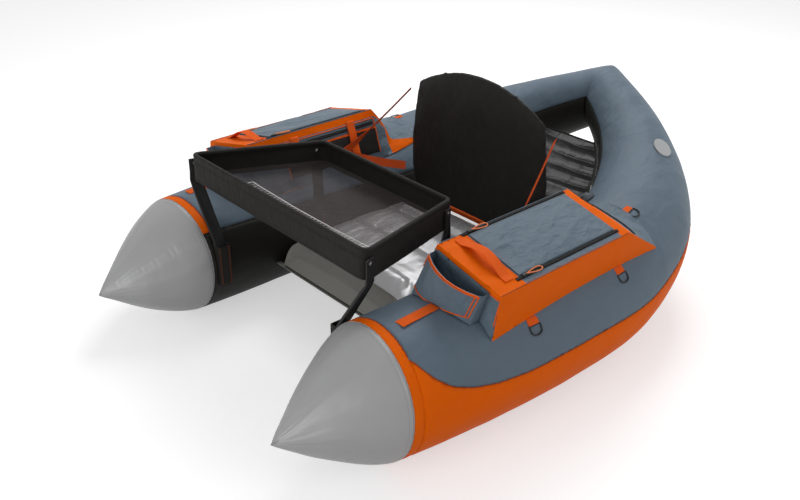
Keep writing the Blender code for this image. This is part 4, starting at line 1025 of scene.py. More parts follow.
def rim_spots(inset, step, radius=0.024):
    """Evenly spaced points round the rim at its height, each with its outward way."""
    front, rear = APRON_FRONT + inset, APRON_REAR - inset
    corners = [Vector((way * (apron_half(y) - 1.042 * inset), y, 0))
               for way, y in ((1, front), (1, rear), (-1, rear), (-1, front))]
    path = []
    for k, corner in enumerate(corners):
        before = (corners[k - 1] - corner).normalized()
        after = (corners[(k + 1) % 4] - corner).normalized()
        cut = max(radius - inset, 0.006) / math.tan(before.angle(after) / 2)
        for s in np.linspace(0, 1, 9):
            path.append(corner + before * cut * (1 - s) ** 2 + after * cut * s**2)
    spots = []
    for spot, way in resample(path + path[:1], step):
        spot.z = apron_rim(spot.y)
        spots.append((spot, way.cross(UP)))
    return spots


print("length of the rim:", round(len(rim_spots(0, 0.002)) * 0.002, 2), "m")

# %% The wall with its hem
wall_section = [(-0.0014, 0.0716), (-0.0003, 0.0708), (0.0003, 0.0690), (0.0004, 0.0665), (0.0, 0.0640)]
wall_section += [(0.0, d) for d in np.linspace(0.058, 0.027, 7)]
wall_section += [(-0.0004, 0.0222), (-0.0009, 0.0200)]
wall_section += [(-ROD_IN + HEM_RADIUS * math.cos(a), ROD_DOWN - HEM_RADIUS * math.sin(a))
                 for a in np.linspace(-0.5, math.pi + 0.7, 12)]
wall_section += [(-0.0052, 0.0160), (-0.0038, 0.0200), (-0.0029, 0.0228)]
wall_section += [(-0.0026, d) for d in np.linspace(0.028, 0.066, 8)] + [(-0.0024, 0.0712)]


def wall_wave(spot, down):
    """How far the slack cloth stands out between its hem and its lower edge."""
    free = max(math.sin(math.pi * min(max((down - 0.021) / 0.055, 0), 1)), 0)
    slow = noise.noise(Vector((spot.x * 7, spot.y * 7, down * 9)))
    fast = noise.noise(Vector((spot.x * 30, spot.y * 30, down * 22 + 5)))
    return free * (0.0020 * slow + 0.0009 * fast)


def wall_row(spot, out):
    """The wall's section at one spot of the rim, with its waves, gathers and uneven foot."""
    gather, uneven = 0.0003 * noise.noise(spot * 160), 0.0012 * noise.noise(spot * 11)
    row = []
    for stand, down in wall_section:
        stand += wall_wave(spot, down) + (gather if 0.018 < down < 0.03 else 0)
        row.append(spot + out * stand - UP * (down + (uneven if down > 0.06 else 0)))
    return row


bm = bmesh.new()
rows = [wall_row(spot, out) for spot, out in rim_spots(0, 0.005)]
grid_mesh(bm, rows + rows[:1], closed=True)
bmesh.ops.remove_doubles(bm, verts=bm.verts, dist=0.00005)
bmesh.ops.recalc_face_normals(bm, faces=bm.faces)
apron_cloth = cloth("Black apron cloth", linear(23, 22, 20), linear(34, 32, 30), 0.6, 480, 0.0003, 26, 0.004)
wall = finish_mesh("hemmed_wall", bm, apron_cloth, "apron", "apron_wall")
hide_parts("apron_frame")
black_thread = cloth("Black thread", linear(24, 23, 22), linear(46, 44, 42), 0.6, 900, 0.00005)
hem_row = [spot + out * 0.0003 - UP * 0.0225 for spot, out in rim_spots(0, 0.006)]
foot_row = [spot + out * 0.0008 - UP * 0.0655 for spot, out in rim_spots(0, 0.006)]
stitches("apron_hem_stitches", [hem_row, foot_row], black_thread, step=0.008, length=0.005, body="apron")
print("points in the wall:", len(wall.data.vertices))

# %% [markdown]
# ### The mesh floor
#
# The floor is a dark open mesh that lets water through. Modelling its thousands of threads would be
# heavy, so one thin sheet carries a pattern in its Alpha: a square grid of threads is solid and the gaps
# between them are clear. The sheet itself is draped by the cloth solver between the walls, a little too
# large for its frame, so that it sags, and a slow slanting ripple is added for its soft folds.

# %% Group: threads with open gaps
open_mesh, mesh_in, mesh_out = new_group("Open mesh", [("Threads per metre", 500.0), ("Thread share", 0.6)],
                                         [("Solid", "NodeSocketFloat")])
place = open_mesh.nodes.new("ShaderNodeTexCoord")
split = open_mesh.nodes.new("ShaderNodeSeparateXYZ")
open_mesh.links.new(place.outputs["Object"], split.inputs[0])
solid = None
for axis in range(2):
    run = math_node(open_mesh, "MULTIPLY", split.outputs[axis], mesh_in.outputs[0])
    thread = math_node(open_mesh, "LESS_THAN", math_node(open_mesh, "FRACT", run), mesh_in.outputs[1])
    solid = thread if solid is None else math_node(open_mesh, "MAXIMUM", solid, thread)
open_mesh.links.new(solid, mesh_out.inputs["Solid"])

mesh_cloth = cloth("Dark open mesh", linear(66, 59, 59), linear(92, 85, 84), 0.6, 500, 0.0002, 14, 0.006)
tree = mesh_cloth.node_tree
gaps = group_node(tree, open_mesh, Threads_per_metre=520, Thread_share=0.42)
tree.links.new(gaps.outputs["Solid"], tree.nodes["Principled BSDF"].inputs["Alpha"])

# %% The floor, draped between the walls
FLOOR_DOWN, FLOOR_INSET, FLOOR_CELLS = 0.058, 0.0032, 52
SAG_CAP, SLACK = 0.009, 0.022


def floor_place(across, along):
    """A point of the slack floor. Both shares run from -1 to 1."""
    y = (APRON_FRONT + APRON_REAR) / 2 + along * ((APRON_REAR - APRON_FRONT) / 2 - FLOOR_INSET)
    half = apron_half(y) - FLOOR_INSET * 1.1
    corner = max(abs(along) - 0.88, 0) / 0.12
    half -= 0.021 * corner**2
    sag = 0.010 * (1 - across**2) * (1 - along**2)
    return Vector((across * half, y, apron_rim(y) - FLOOR_DOWN - sag))


def face_towards(bm, way=UP):
    """Turns the faces of an open sheet towards a way."""
    bm.normal_update()
    bm.faces.ensure_lookup_table()
    if bm.faces[0].normal.dot(way) < 0:
        bmesh.ops.reverse_faces(bm, faces=bm.faces)


bm = bmesh.new()
shares = [2 * k / FLOOR_CELLS - 1 for k in range(FLOOR_CELLS + 1)]
grid_mesh(bm, [[floor_place(across, along) for across in shares] for along in shares])
face_towards(bm)
bm.verts.index_update()
edge_points = sorted(v.index for v in bm.verts if v.is_boundary)
mesh_floor = add_piece("mesh_floor", mesh_of("mesh_floor", bm), mesh_cloth)
before = [v.co.copy() for v in mesh_floor.data.vertices]
drape = mesh_floor.modifiers.new("drape", "CLOTH")
group = mesh_floor.vertex_groups.new(name="edge")
group.add(edge_points, 1.0, "REPLACE")
drape.settings.vertex_group_mass = "edge"
drape.settings.quality = 6
drape.settings.shrink_min = -SLACK
drape.settings.bending_stiffness = 0.02
for step in range(1, 25):
    bpy.context.scene.frame_set(step)
apply_modifiers(mesh_floor)
bpy.context.scene.frame_set(1)
for vert, start in zip(mesh_floor.data.vertices, before):
    move = vert.co - start
    if move.length > SAG_CAP:
        vert.co = start + move * (SAG_CAP / move.length)
for vert in mesh_floor.data.vertices:
    ripple = noise.noise(Vector((vert.co.x * 5 - vert.co.y * 9, vert.co.y * 30 + vert.co.x * 16, 0)))
    inside = min((vert.co.y - APRON_FRONT) * 14, (APRON_REAR - vert.co.y) * 14, 1)
    vert.co.z += 0.0022 * ripple * inside
mesh_floor.data.shade_smooth()
subdivide_once(mesh_floor)
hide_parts("apron_floor")
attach(mesh_floor, "apron")

# %% The ruler along the floor's front edge
ruler_print = cloth("White ruler print", linear(206, 205, 202), linear(186, 184, 180), 0.6, 500, 0.00005)
floor_tree = surface_of(mesh_floor)


def strip(bm, start, end, width, tree, lift=0.0006, step=0.012):
    """A thin flat strip between two points in plan, laid on a surface."""
    start, end = Vector((*start, 0)), Vector((*end, 0))
    side_way = (end - start).normalized().cross(UP) * (width / 2)
    count = max(int((end - start).length / step), 1)
    rows = []
    for k in range(count + 1):
        here = start.lerp(end, k / count)
        rows.append([from_above(tree, p.x, p.y, lift) for p in (here - side_way, here + side_way)])
    rows = [row for row in rows if None not in row]
    if len(rows) > 1:
        grid_mesh(bm, rows)


RULER_NEAR, RULER_FAR, RULER_HALF = APRON_FRONT + 0.080, APRON_FRONT + 0.112, 0.2286
DIVISIONS, LONG_TICK, SHORT_TICK, LINE_WIDTH, TICK_WIDTH = 36, 0.020, 0.011, 0.0026, 0.0016
bm = bmesh.new()
for y in (RULER_NEAR, RULER_FAR):
    strip(bm, (-RULER_HALF, y), (RULER_HALF, y), LINE_WIDTH, floor_tree)
for x in (-RULER_HALF, RULER_HALF):
    strip(bm, (x, RULER_NEAR), (x, RULER_FAR), LINE_WIDTH, floor_tree)
for k in range(1, DIVISIONS):
    x = -RULER_HALF + 2 * RULER_HALF * k / DIVISIONS
    tick = LONG_TICK if k % 2 == 0 else SHORT_TICK
    strip(bm, (x, RULER_FAR), (x, RULER_FAR - tick), TICK_WIDTH, floor_tree)
ruler = finish_mesh("ruler_ticks", bm, ruler_print, "apron", None)
ruler.data.shade_flat()
print("ticks on the ruler:", DIVISIONS - 1)

# %% [markdown]
# ### Hard finishes and rivets
#
# Coated metal and moulded plastic are paler where dust has settled and where their edges are rubbed, so
# one function makes them all, with a fine grain in place of a weave. A rivet with a domed head and a
# washer holds each leg to the wall. It is one profile turned about its axis, outside and inside the wall.

# %% Finishes of metal and plastic


def coated(name, colour, worn, roughness, metallic=0.0, edge=0.5, grain=900, depth=0.00006, amount=0.3):
    """A hard finish with dust, rubbed edges and a fine grain."""
    made = bpy.data.materials.new(name)
    made.use_nodes = True
    tree = made.node_tree
    shader = tree.nodes["Principled BSDF"]
    shader.inputs["Metallic"].default_value = metallic
    shader.inputs["Specular IOR Level"].default_value = 0.5 if metallic else 0.25
    patches = group_node(tree, dust, Patch_size=14.0, Amount=amount)
    edges = group_node(tree, rub, Amount=edge)
    both = math_node(tree, "MAXIMUM", patches.outputs["Mask"], edges.outputs["Mask"])
    tint = tree.nodes.new("ShaderNodeMix")
    tint.data_type = "RGBA"
    tint.inputs["A"].default_value = colour
    tint.inputs["B"].default_value = worn
    tree.links.new(both, tint.inputs["Factor"])
    tree.links.new(tint.outputs["Result"], shader.inputs["Base Color"])
    rough = tree.nodes.new("ShaderNodeMapRange")
    rough.inputs["To Min"].default_value = roughness
    rough.inputs["To Max"].default_value = min(roughness + 0.25, 1.0)
    tree.links.new(patches.outputs["Mask"], rough.inputs["Value"])
    tree.links.new(rough.outputs[0], shader.inputs["Roughness"])
    speckle = tree.nodes.new("ShaderNodeTexNoise")
    speckle.inputs["Scale"].default_value = grain
    place = tree.nodes.new("ShaderNodeTexCoord")
    tree.links.new(place.outputs["Object"], speckle.inputs["Vector"])
    bump = tree.nodes.new("ShaderNodeBump")
    bump.inputs["Distance"].default_value = depth
    tree.links.new(speckle.outputs["Fac"], bump.inputs["Height"])
    tree.links.new(bump.outputs[0], shader.inputs["Normal"])
    return made


def dress(node, finish):
    """Gives a CAD node a better finish and keeps its shape."""
    slots = nodes[node].data.materials
    slots.clear()
    slots.append(finish)


black_bar = coated("Black coated bar", linear(17, 16, 16), linear(38, 37, 35), 0.5, edge=0.15, amount=0.2)
steel = coated("Dull steel", linear(112, 112, 114), linear(84, 82, 80), 0.36, metallic=1.0, edge=0.2)

# %% Rivets
RIVET = ((0.0052, 0.0), (0.0052, 0.0006), (0.0047, 0.0009), (0.0034, 0.0010), (0.0032, 0.0014),
         (0.0025, 0.0021), (0.0013, 0.0025), (0.0003, 0.0026))
RIVET_DOWN, RIVET_OUTSIDE, RIVET_INSIDE = 0.030, 0.0036, -0.0030


def turned_profile(bm, centre, axis, profile, steps=20):
    """Turns (radius, height) pairs about an axis through the centre."""
    axis = Vector(axis).normalized()
    first = axis.orthogonal().normalized()
    second = axis.cross(first)
    rings = []
    for radius, height in profile:
        ways = [first * math.cos(a) + second * math.sin(a)
                for a in [math.tau * k / steps for k in range(steps)]]
        rings.append([bm.verts.new(centre + axis * height + way * radius) for way in ways])
    join_rings(bm, rings)
    bm.faces.new(rings[0][::-1])
    bm.faces.new(rings[-1])


bm = bmesh.new()
slope = (APRON_HALVES[0] - APRON_HALVES[1]) / (APRON_REAR - APRON_FRONT)
wall_out = Vector((1, slope, 0)).normalized()
for side_name, side in SIDES:
    for y in (-0.497, -0.192):
        for stand, way in ((RIVET_OUTSIDE, 1), (RIVET_INSIDE, -1)):
            x = apron_half(y) + stand * math.hypot(1, slope)
            spot = Vector((x * side, y, apron_rim(y) - RIVET_DOWN))
            turned_profile(bm, spot, (wall_out.x * side * way, wall_out.y * way, 0), RIVET)
finish_mesh("leg_rivets", bm, steel, "apron", None, 30)
print("rivets made")

# %% [markdown]
# ## Side bags
#
# A bag rests on each tube: a padded box of coated cloth with a zipped lid, an open pocket at its front
# and a sloping rear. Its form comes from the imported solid, and a chain of mesh steps turns hard board
# into sewn cloth: cut along the colour borders, round the edges, divide finely, then push the points out
# and in with noise, so that panels swell a little and crease. Each panel then takes its own finish.

# %% Softening a solid


def soften(node, cuts=(), bevel=0.004, cell=0.013, sharp=38):
    """The node's shape with rounded edges and fine cells. Cuts are (point, way) pairs."""
    bm = solid_copy(node)
    for point, way in cuts:
        bmesh.ops.bisect_plane(bm, geom=bm.verts[:] + bm.edges[:] + bm.faces[:], plane_co=point, plane_no=way,
                               dist=0.00001)
    outer = [e for e in bm.edges if e.is_manifold and e.is_convex]
    edges = [e for e in outer if e.calc_face_angle(0) > math.radians(sharp)]
    bmesh.ops.bevel(bm, geom=edges, offset=bevel, segments=3, profile=0.5, affect="EDGES",
                    clamp_overlap=True)
    divide(bm, cell, 5)
    return bm


def paint(bm, choose):
    """Gives each face the number of a finish, by its centre and its normal."""
    bm.normal_update()
    for face in bm.faces:
        face.material_index = choose(face.calc_center_median(), face.normal)


# %% Places on the left bag
BAG_FRONT, BAG_REAR_TOP, BAG_REAR = -0.3320, 0.0900, 0.2360
LID_FRONT, LID_REAR = -0.2520, 0.0640
TOP_IN, TOP_OUT, LID_IN, LID_OUT = 0.353, 0.534, 0.364, 0.510
BAG_TOP, LEAN = 0.420, 0.2431
LEAN_UP, LEAN_OUT = Vector((LEAN, 0, 1)).normalized(), Vector((1, 0, -LEAN)).normalized()
# The hollow under the lid, which takes a painted shade.
HOLLOW_SHADE_MIDDLE, HOLLOW_SHADE_HALF, HOLLOW_SHADE_DEPTH = 0.437, 0.0705, 0.2
SLOPE_SEAM, FRONT_BAND, INNER_BAND = 0.108, 0.013, 0.020
# The bag's grey cloth made darker for the hollow under the lid: painted shade.
hollow_shade_cloth = cloth("Bag hollow, painted shade", linear(52, 58, 66), linear(70, 76, 84), 0.7, 600, 0.0001, 22, 0.004)


def lid_place(x, y, height=0.0):
    """A point at a height over the left bag's leaning top."""
    return Vector((x, y, BAG_TOP - LEAN * (x - TOP_IN))) + LEAN_UP * height


def below_top(p):
    """How far a point lies under the leaning top."""
    return (lid_place(TOP_IN, 0) - Vector((p.x, 0, p.z))).dot(LEAN_UP)


def bag_panel(place, normal, side):
    """The finish of a face of the bag: 0 orange, 1 grey, 2 painted shade in the hollow under the lid."""
    p = Vector((place.x * side, place.y, place.z))
    n = Vector((normal.x * side, normal.y, normal.z))
    down = below_top(p)
    under_lid = LID_FRONT < p.y < LID_REAR and 0.0025 < down < HOLLOW_SHADE_DEPTH and p.z > 0.30
    # Faces of the hollow under the lid take the painted shade.
    if under_lid and abs(p.x - HOLLOW_SHADE_MIDDLE) < HOLLOW_SHADE_HALF:
        return 2
    if p.y > SLOPE_SEAM:
        return 0 if abs(n.x) > (0.93 if down > 0.03 else 0.55) else 1
    if n.dot(LEAN_UP) > 0.45:
        return 0 if p.y < LID_FRONT - 0.002 or p.y > LID_REAR else 1
    if n.y < -0.55:
        return 0 if down < FRONT_BAND else 1
    if n.x > 0.3:
        return 0
    if n.x < -0.5:
        return 0 if down < INNER_BAND else 1
    return 1


def bag_swell(co, normal, side):
    """How far the padded cloth stands off the solid: nowhere under the bag or under the lid."""
    p = Vector((co.x * side, co.y, co.z))
    down = below_top(p)
    creases = 0.0016 * noise.noise(Vector((p.x * 16, p.y * 9, p.z * 26))) + 0.0008 * noise.noise(p * 55)
    if normal.z < -0.35:
        return 0.0
    if LID_IN - 0.012 < p.x < LID_OUT + 0.012 and LID_FRONT - 0.004 < p.y < LID_REAR + 0.004:
        return 0.0
    if abs(normal.x) > 0.5:
        along = min(max((p.y - BAG_FRONT) / (BAG_REAR - BAG_FRONT), 0), 1)
        belly = math.sin(math.pi * min(max(down / 0.09, 0), 1)) * math.sin(math.pi * along)
        return 0.003 * belly + creases * 0.7
    return creases * 0.5 - 0.0004


# %% The body of each bag
hull_tree = surface_of(top_cover)
REAR_HEIGHT, REAR_EDGE, SLANT_EDGE, SLANT_END = 0.125, 0.008, 0.004, 0.135


def slant_rear(bm):
    """Lowers the inner part of the sloping rear, which ends sooner than its outer part."""
    for vert in bm.verts:
        if vert.co.y < BAG_REAR_TOP + 0.002:
            continue
        rest = from_above(hull_tree, vert.co.x, vert.co.y, 0.0)
        across = min(max((abs(vert.co.x) - 0.320) / 0.170, 0), 1)
        end = SLANT_END + (BAG_REAR - SLANT_END) * across**0.8
        past = vert.co.y - BAG_REAR_TOP
        height = REAR_HEIGHT + (REAR_EDGE - REAR_HEIGHT) * past / (BAG_REAR - BAG_REAR_TOP)
        wanted = REAR_HEIGHT + (SLANT_EDGE - REAR_HEIGHT) * min(past / (end - BAG_REAR_TOP), 1)
        if rest is not None and vert.co.z > rest.z + 0.004:
            vert.co.z = rest.z + 0.003 + (vert.co.z - rest.z - 0.003) * min(wanted / height, 1)


for side_name, side in SIDES:
    cuts = [((0, y, 0), (0, 1, 0)) for y in (LID_FRONT - 0.002, LID_REAR, SLOPE_SEAM)]
    cuts += [(turned(lid_place(TOP_IN, 0, -depth), side), turned(LEAN_UP, side))
             for depth in (FRONT_BAND, INNER_BAND)]
    bm = soften(f"bag_body_{side_name}", cuts, bevel=0.005, cell=0.012)
    paint(bm, lambda p, n: bag_panel(p, n, side))
    slant_rear(bm)
    push(bm, lambda p, n: bag_swell(p, n, side))
    # The third finish is the painted shade of the hollow under the lid.
    body = finish_mesh(f"soft_bag_{side_name}", bm, [orange_cloth, bag_cloth, hollow_shade_cloth], "hull",
                       f"bag_body_{side_name}", 60)
    tree = surface_of(body)

    def edge_line(points, way, lift=0.0004):
        """Points moved onto the bag's surface, seen from outside along a way."""
        way = Vector(way).normalized()
        way.x *= side
        line = [on_piece(tree, turned(p, side) + way * 0.06, -way, lift) for p in points]
        return skipped(line)

    top_ys = np.linspace(BAG_FRONT + 0.004, BAG_REAR_TOP - 0.002, 60)
    outer_edge = edge_line([(TOP_OUT, y, 0.376) for y in top_ys], (1, 0, 1))
    inner_edge = edge_line([(TOP_IN, y, BAG_TOP) for y in top_ys], (-0.7, 0, 1))
    sweep(f"bag_edge_piping_0_{side_name}", outer_edge, 0.0011, dark_piping)
    sweep(f"bag_edge_piping_1_{side_name}", inner_edge, 0.0011, bag_cloth)
    front_xs = np.linspace(TOP_IN - 0.004, TOP_OUT - 0.002, 30)
    front_low = [lid_place(x, BAG_FRONT, -FRONT_BAND) for x in front_xs]
    sweep(f"bag_front_piping_{side_name}", edge_line(front_low, (0, -1, 0)), 0.0015, orange_webbing)
    corner_top, corner_foot = Vector((0.533, BAG_FRONT, 0.362)), Vector((0.521, BAG_FRONT, 0.300))
    corner = [corner_top.lerp(corner_foot, t) for t in np.linspace(0, 1, 24)]
    sweep(f"bag_corner_piping_{side_name}", edge_line(corner, (1, -1, 0)), 0.0015, orange_webbing)
    lid_xs = np.linspace(TOP_IN + 0.008, TOP_OUT - 0.008, 40)
    rows = [edge_line([lid_place(x, y) for x in lid_xs], (0, 0, 1), 0.0002)
            for y in (LID_FRONT - 0.004, LID_REAR + 0.003)]
    lid_ys = np.linspace(LID_FRONT, LID_REAR, 60)
    rows.append(edge_line([lid_place(TOP_OUT - 0.004, y) for y in lid_ys], (0, 0, 1)))
    stitches(f"bag_top_stitches_{side_name}", rows, orange_thread)
print("panels of the bags made")

# %% [markdown]
# ### Lids and zips
#
# Each lid is one soft flap held by two zips. It is thin, so its surface is a fine grid that rises a
# little in the middle, with slanting creases as the photographed one has. A zip is two dark tapes with a
# row of small teeth where they meet. Its slider and the cord loop ride on the slider's own body, so they
# run along the zip when the lid opens.

# %% Lids
black_plastic = coated("Black moulded plastic", linear(21, 21, 22), linear(48, 48, 48), 0.4, edge=0.2,
                       amount=0.2)
zip_tape = cloth("Black zip tape", linear(26, 26, 27), linear(42, 42, 43), 0.7, 900, 0.0003, shine=0.08)
zip_teeth = cloth("Brown zip teeth", linear(64, 62, 61), linear(78, 76, 75), 0.5, 900, 0.0001)
pull_cord = cloth("Orange cord", linear(226, 130, 84), linear(236, 160, 122), 0.6, 900, 0.0003)


def lid_rise(x, y):
    """How far the lid's cloth rises at a place: a low dome with slanting creases, still at the edges."""
    across = (x - LID_IN) / (LID_OUT - LID_IN)
    along = (y - LID_FRONT) / (LID_REAR - LID_FRONT)
    dome = 0.0050 * math.sin(math.pi * across) ** 0.7 * math.sin(math.pi * min(max(along, 0), 1)) ** 0.5
    slant = Vector((x * 15 + y * 10, y * 3 - x * 4, 1.7))
    ridge = 1 - abs(noise.noise(slant * 1.3)) * 3
    crease = 0.0034 * noise.noise(slant) + 0.0018 * max(ridge, 0) ** 2 + 0.0003 * noise.noise(slant * 4)
    edge = min(across, 1 - across, along * 1.6, (1 - along) * 1.6) / 0.10
    return dome + crease * min(max(edge, 0), 1)


for side_name, side in SIDES:
    bm = bmesh.new()
    sections = []
    line = [LID_IN + 0.001 + (LID_OUT - LID_IN - 0.002) * i / 34 for i in range(35)]
    for j in range(65):
        y = LID_FRONT + 0.001 + (LID_REAR - LID_FRONT - 0.002) * j / 64
        top = [lid_place(x, y, 0.0030 + lid_rise(x, y)) for x in line]
        low = [lid_place(x, y, 0.0008 + max(lid_rise(x, y) - 0.001, 0) * 0.6) for x in line]
        sections.append([turned(p, side) for p in [low[0]] + top + low[:0:-1]])
    grid_mesh(bm, sections, closed=True)
    cap_ends(bm, len(sections[0]))
    bmesh.ops.recalc_face_normals(bm, faces=bm.faces)
    lid_body = f"lid_{side_name}"
    finish_mesh(f"creased_lid_{side_name}", bm, bag_cloth, lid_body, f"bag_lid_{side_name}", 60)
    edge_ys = np.linspace(LID_FRONT + 0.004, LID_REAR - 0.004, 40)
    edges = [[turned(lid_place(x, y, 0.0045), side) for y in edge_ys]
             for x in (LID_IN + 0.004, LID_OUT - 0.004)]
    stitches(f"lid_stitches_{side_name}", edges, grey_thread, body=lid_body)
print("points in one lid:", len(sections) * len(sections[0]))

# %% A line of tape and teeth
TOOTH_CORNERS = ((-1, -1, -1), (1, -1, -1), (1, 1, -1), (-1, 1, -1),
                 (-1, -1, 1), (1, -1, 1), (1, 1, 1), (-1, 1, 1))
TOOTH_FACES = ((0, 3, 2, 1), (4, 5, 6, 7), (0, 1, 5, 4), (1, 2, 6, 5), (2, 3, 7, 6), (3, 0, 4, 7))


def zip_line(name, points, side, lean=LEAN_UP):
    """Two tapes and a row of teeth along a line on the bag. Each tooth is narrower at its top."""
    points = [Vector(p) for p in points]
    way = (points[-1] - points[0]).normalized()
    out = lean.cross(way).normalized()
    bm = bmesh.new()
    for sign in (-1, 1):
        rows = []
        for p in points:
            near, far = p + out * sign * 0.0008, p + out * sign * 0.0043
            rows.append([turned(q, side) for q in (near, near + lean * 0.0011, far + lean * 0.0006, far)])
        grid_mesh(bm, rows, closed=True)
    tape_faces = len(bm.faces)
    for spot, _ in resample(points, 0.0028):
        for sign in (-1, 1):
            middle = spot + out * sign * 0.0009 + lean * 0.0014 + way * (0.0007 * sign)
            corners = []
            for a, b, c in TOOTH_CORNERS:
                narrow = 0.7 if c > 0 else 1
                corner = middle + (way * a * 0.0006 + out * b * 0.0013) * narrow + lean * c * 0.0008
                corners.append(bm.verts.new(turned(corner, side)))
            for quad in TOOTH_FACES:
                bm.faces.new([corners[k] for k in quad])
    for number, face in enumerate(bm.faces):
        face.material_index = int(number >= tape_faces)
    bmesh.ops.recalc_face_normals(bm, faces=bm.faces)
    finish_mesh(name, bm, [zip_tape, zip_teeth], "hull", None, 30)


# %% Sliders and pull cords
SLIDER_PROFILE = ((-0.0085, 0.0022, 0.0030), (-0.0080, 0.0034, 0.0042), (-0.003, 0.0044, 0.0052),
                  (0.0, 0.0034, 0.0056), (0.004, 0.0046, 0.0052), (0.0068, 0.0030, 0.0040))
SLIDER_SIDES, LOOP_LENGTH, LOOP_SPREAD, CORD_RADIUS = 14, 0.050, 0.0076, 0.0015


def slider_ring(start, along, wide, high, side):
    """One rounded section of a slider, at a place along it."""
    ring = []
    for k in range(SLIDER_SIDES):
        a = math.tau * k / SLIDER_SIDES
        rise = LEAN_UP * (0.0022 + high / 2 * (1 + math.sin(a)))
        ring.append(turned(start + LEAN_OUT * math.cos(a) * wide + Vector((0, along, 0)) + rise, side))
    return ring


def loop_place(x, t, side):
    """A point of the pull cord's loop, which narrows to a point at the slider."""
    reach = math.sin(t / 2)
    wide = LOOP_SPREAD * math.sin(t) * reach**1.2
    y = LID_FRONT + 0.013 + LOOP_LENGTH * reach**1.6
    return turned(lid_place(x + wide, y, 0.0068 - 0.0030 * reach), side)


for side_name, side in SIDES:
    for where, x in (("inner", LID_IN - 0.0056), ("outer", LID_OUT + 0.0056)):
        line = [lid_place(x, y, 0.0006) for y in np.linspace(LID_FRONT - 0.014, LID_REAR + 0.006, 30)]
        zip_line(f"zip_{where}_{side_name}", line, side)
        node, zip_body = f"zip_pull_{where}_{side_name}", f"zip_{where}_{side_name}"
        start = lid_place(x, LID_FRONT + 0.012, 0.0)
        bm = bmesh.new()
        grid_mesh(bm, [slider_ring(start, *section, side) for section in SLIDER_PROFILE], closed=True)
        cap_ends(bm, SLIDER_SIDES)
        bmesh.ops.recalc_face_normals(bm, faces=bm.faces)
        finish_mesh(f"slider_{where}_{side_name}", bm, black_plastic, zip_body, node, 40)
        loop = [loop_place(x, math.tau * k / 40, side) for k in range(40)]
        cord = sweep(f"pull_cord_{where}_{side_name}", loop, CORD_RADIUS, pull_cord, sides=8, closed=True,
                     body=zip_body)
        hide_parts(node)
    tree = surface_of(bpy.data.objects[f"soft_bag_{side_name}"])
    rear_line = []
    for t in np.linspace(0, 1, 24):
        hit = from_above(tree, (TOP_IN + 0.008 + 0.165 * t) * side, 0.1120 + 0.012 * t, 0.0005)
        rear_line.append(turned(hit, side))
    zip_line(f"rear_zip_{side_name}", rear_line, side)
print("zips made")

# %% [markdown]
# ### Pockets of the bags
#
# The front pocket bulges, its mouth stands open, and orange binding runs round its rim, sides and foot.
# The binding follows the pocket's own outline: the same few numbers that shape the pocket give the path,
# and a ray sent from outside finds the surface under each of its points. The face towards the seat has a
# mesh pocket with a zip, and webbing straps that hold the bag down.

# %% Front pockets
POCKET_FEET, POCKET_TOPS, POCKET_FOOT = (0.306, 0.482), (0.357, 0.506), 0.312
BINDING_ROWS, BINDING_ENDS, BINDING_RADIUS = (0.985, 0.935, 0.04), (0.025, 0.945, 0.985), 0.0014


def pocket_place(share, height, side, tree):
    """A point on the pocket's outside: share across from the inner side, height from foot to rim."""
    foot_x, top_x = np.interp(share, (0, 1), POCKET_FEET), np.interp(share, (0, 1), POCKET_TOPS)
    rim = BAG_TOP - LEAN * (top_x - TOP_IN) - 0.010
    z = POCKET_FOOT + (rim - POCKET_FOOT) * height
    x = foot_x + (top_x - foot_x) * height
    hit = on_piece(tree, (x * side, BAG_FRONT - 0.2, z), (0, 1, 0), 0.0008)
    return None if hit is None or hit.y > BAG_FRONT - 0.02 else hit


def pocket_finish(p, n):
    """Two slots of the same cloth: 1 inside the pocket, 0 outside."""
    inside = n.y > 0.2 and p.y < BAG_FRONT - 0.012
    floor, back_wall = n.z > 0.5 and p.z < 0.36, n.y < -0.3 and p.y > BAG_FRONT - 0.008
    return int(inside or floor or back_wall)


def pocket_waves(p, n):
    """The slack of the pocket's cloth, on all but its underside."""
    return 0.0012 * noise.noise(Vector((p.x * 18, p.y * 18, p.z * 14))) if n.z > -0.4 else 0.0


for side_name, side in SIDES:
    bm = soften(f"bag_pocket_{side_name}", bevel=0.0008, cell=0.009, sharp=45)
    paint(bm, pocket_finish)
    push(bm, pocket_waves)
    pocket = finish_mesh(f"open_pocket_{side_name}", bm, [bag_cloth, bag_cloth], "hull",
                         f"bag_pocket_{side_name}", 50)
    tree = surface_of(pocket)
    lines = [[pocket_place(s, h, side, tree) for s in np.linspace(0.02, 0.98, 50)] for h in BINDING_ROWS]
    lines += [[pocket_place(s, h, side, tree) for h in np.linspace(0.04, 0.985, 26)] for s in BINDING_ENDS]
    for number, line in enumerate(skipped(line) for line in lines):
        if len(line) > 2:
            sweep(f"pocket_binding_{number}_{side_name}", line, BINDING_RADIUS, orange_webbing)
print("pockets made")

# %% Patches on the face towards the seat
PATCH_FRONT, PATCH_REAR = -0.225, 0.085
STRIP_TOP, STRIP_FOOT, MESH_TOP, MESH_FOOT = 0.022, 0.044, 0.047, 0.112
EDGE_BINDING_RADIUS, STRAP_HALF = 0.0015, 0.0125


def inner_place(y, down, side, tree, lift):
    """A point on the bag's inner face, at a depth below its top edge."""
    return on_piece(tree, (0.20 * side, y, BAG_TOP - down), (side, 0, 0), lift)


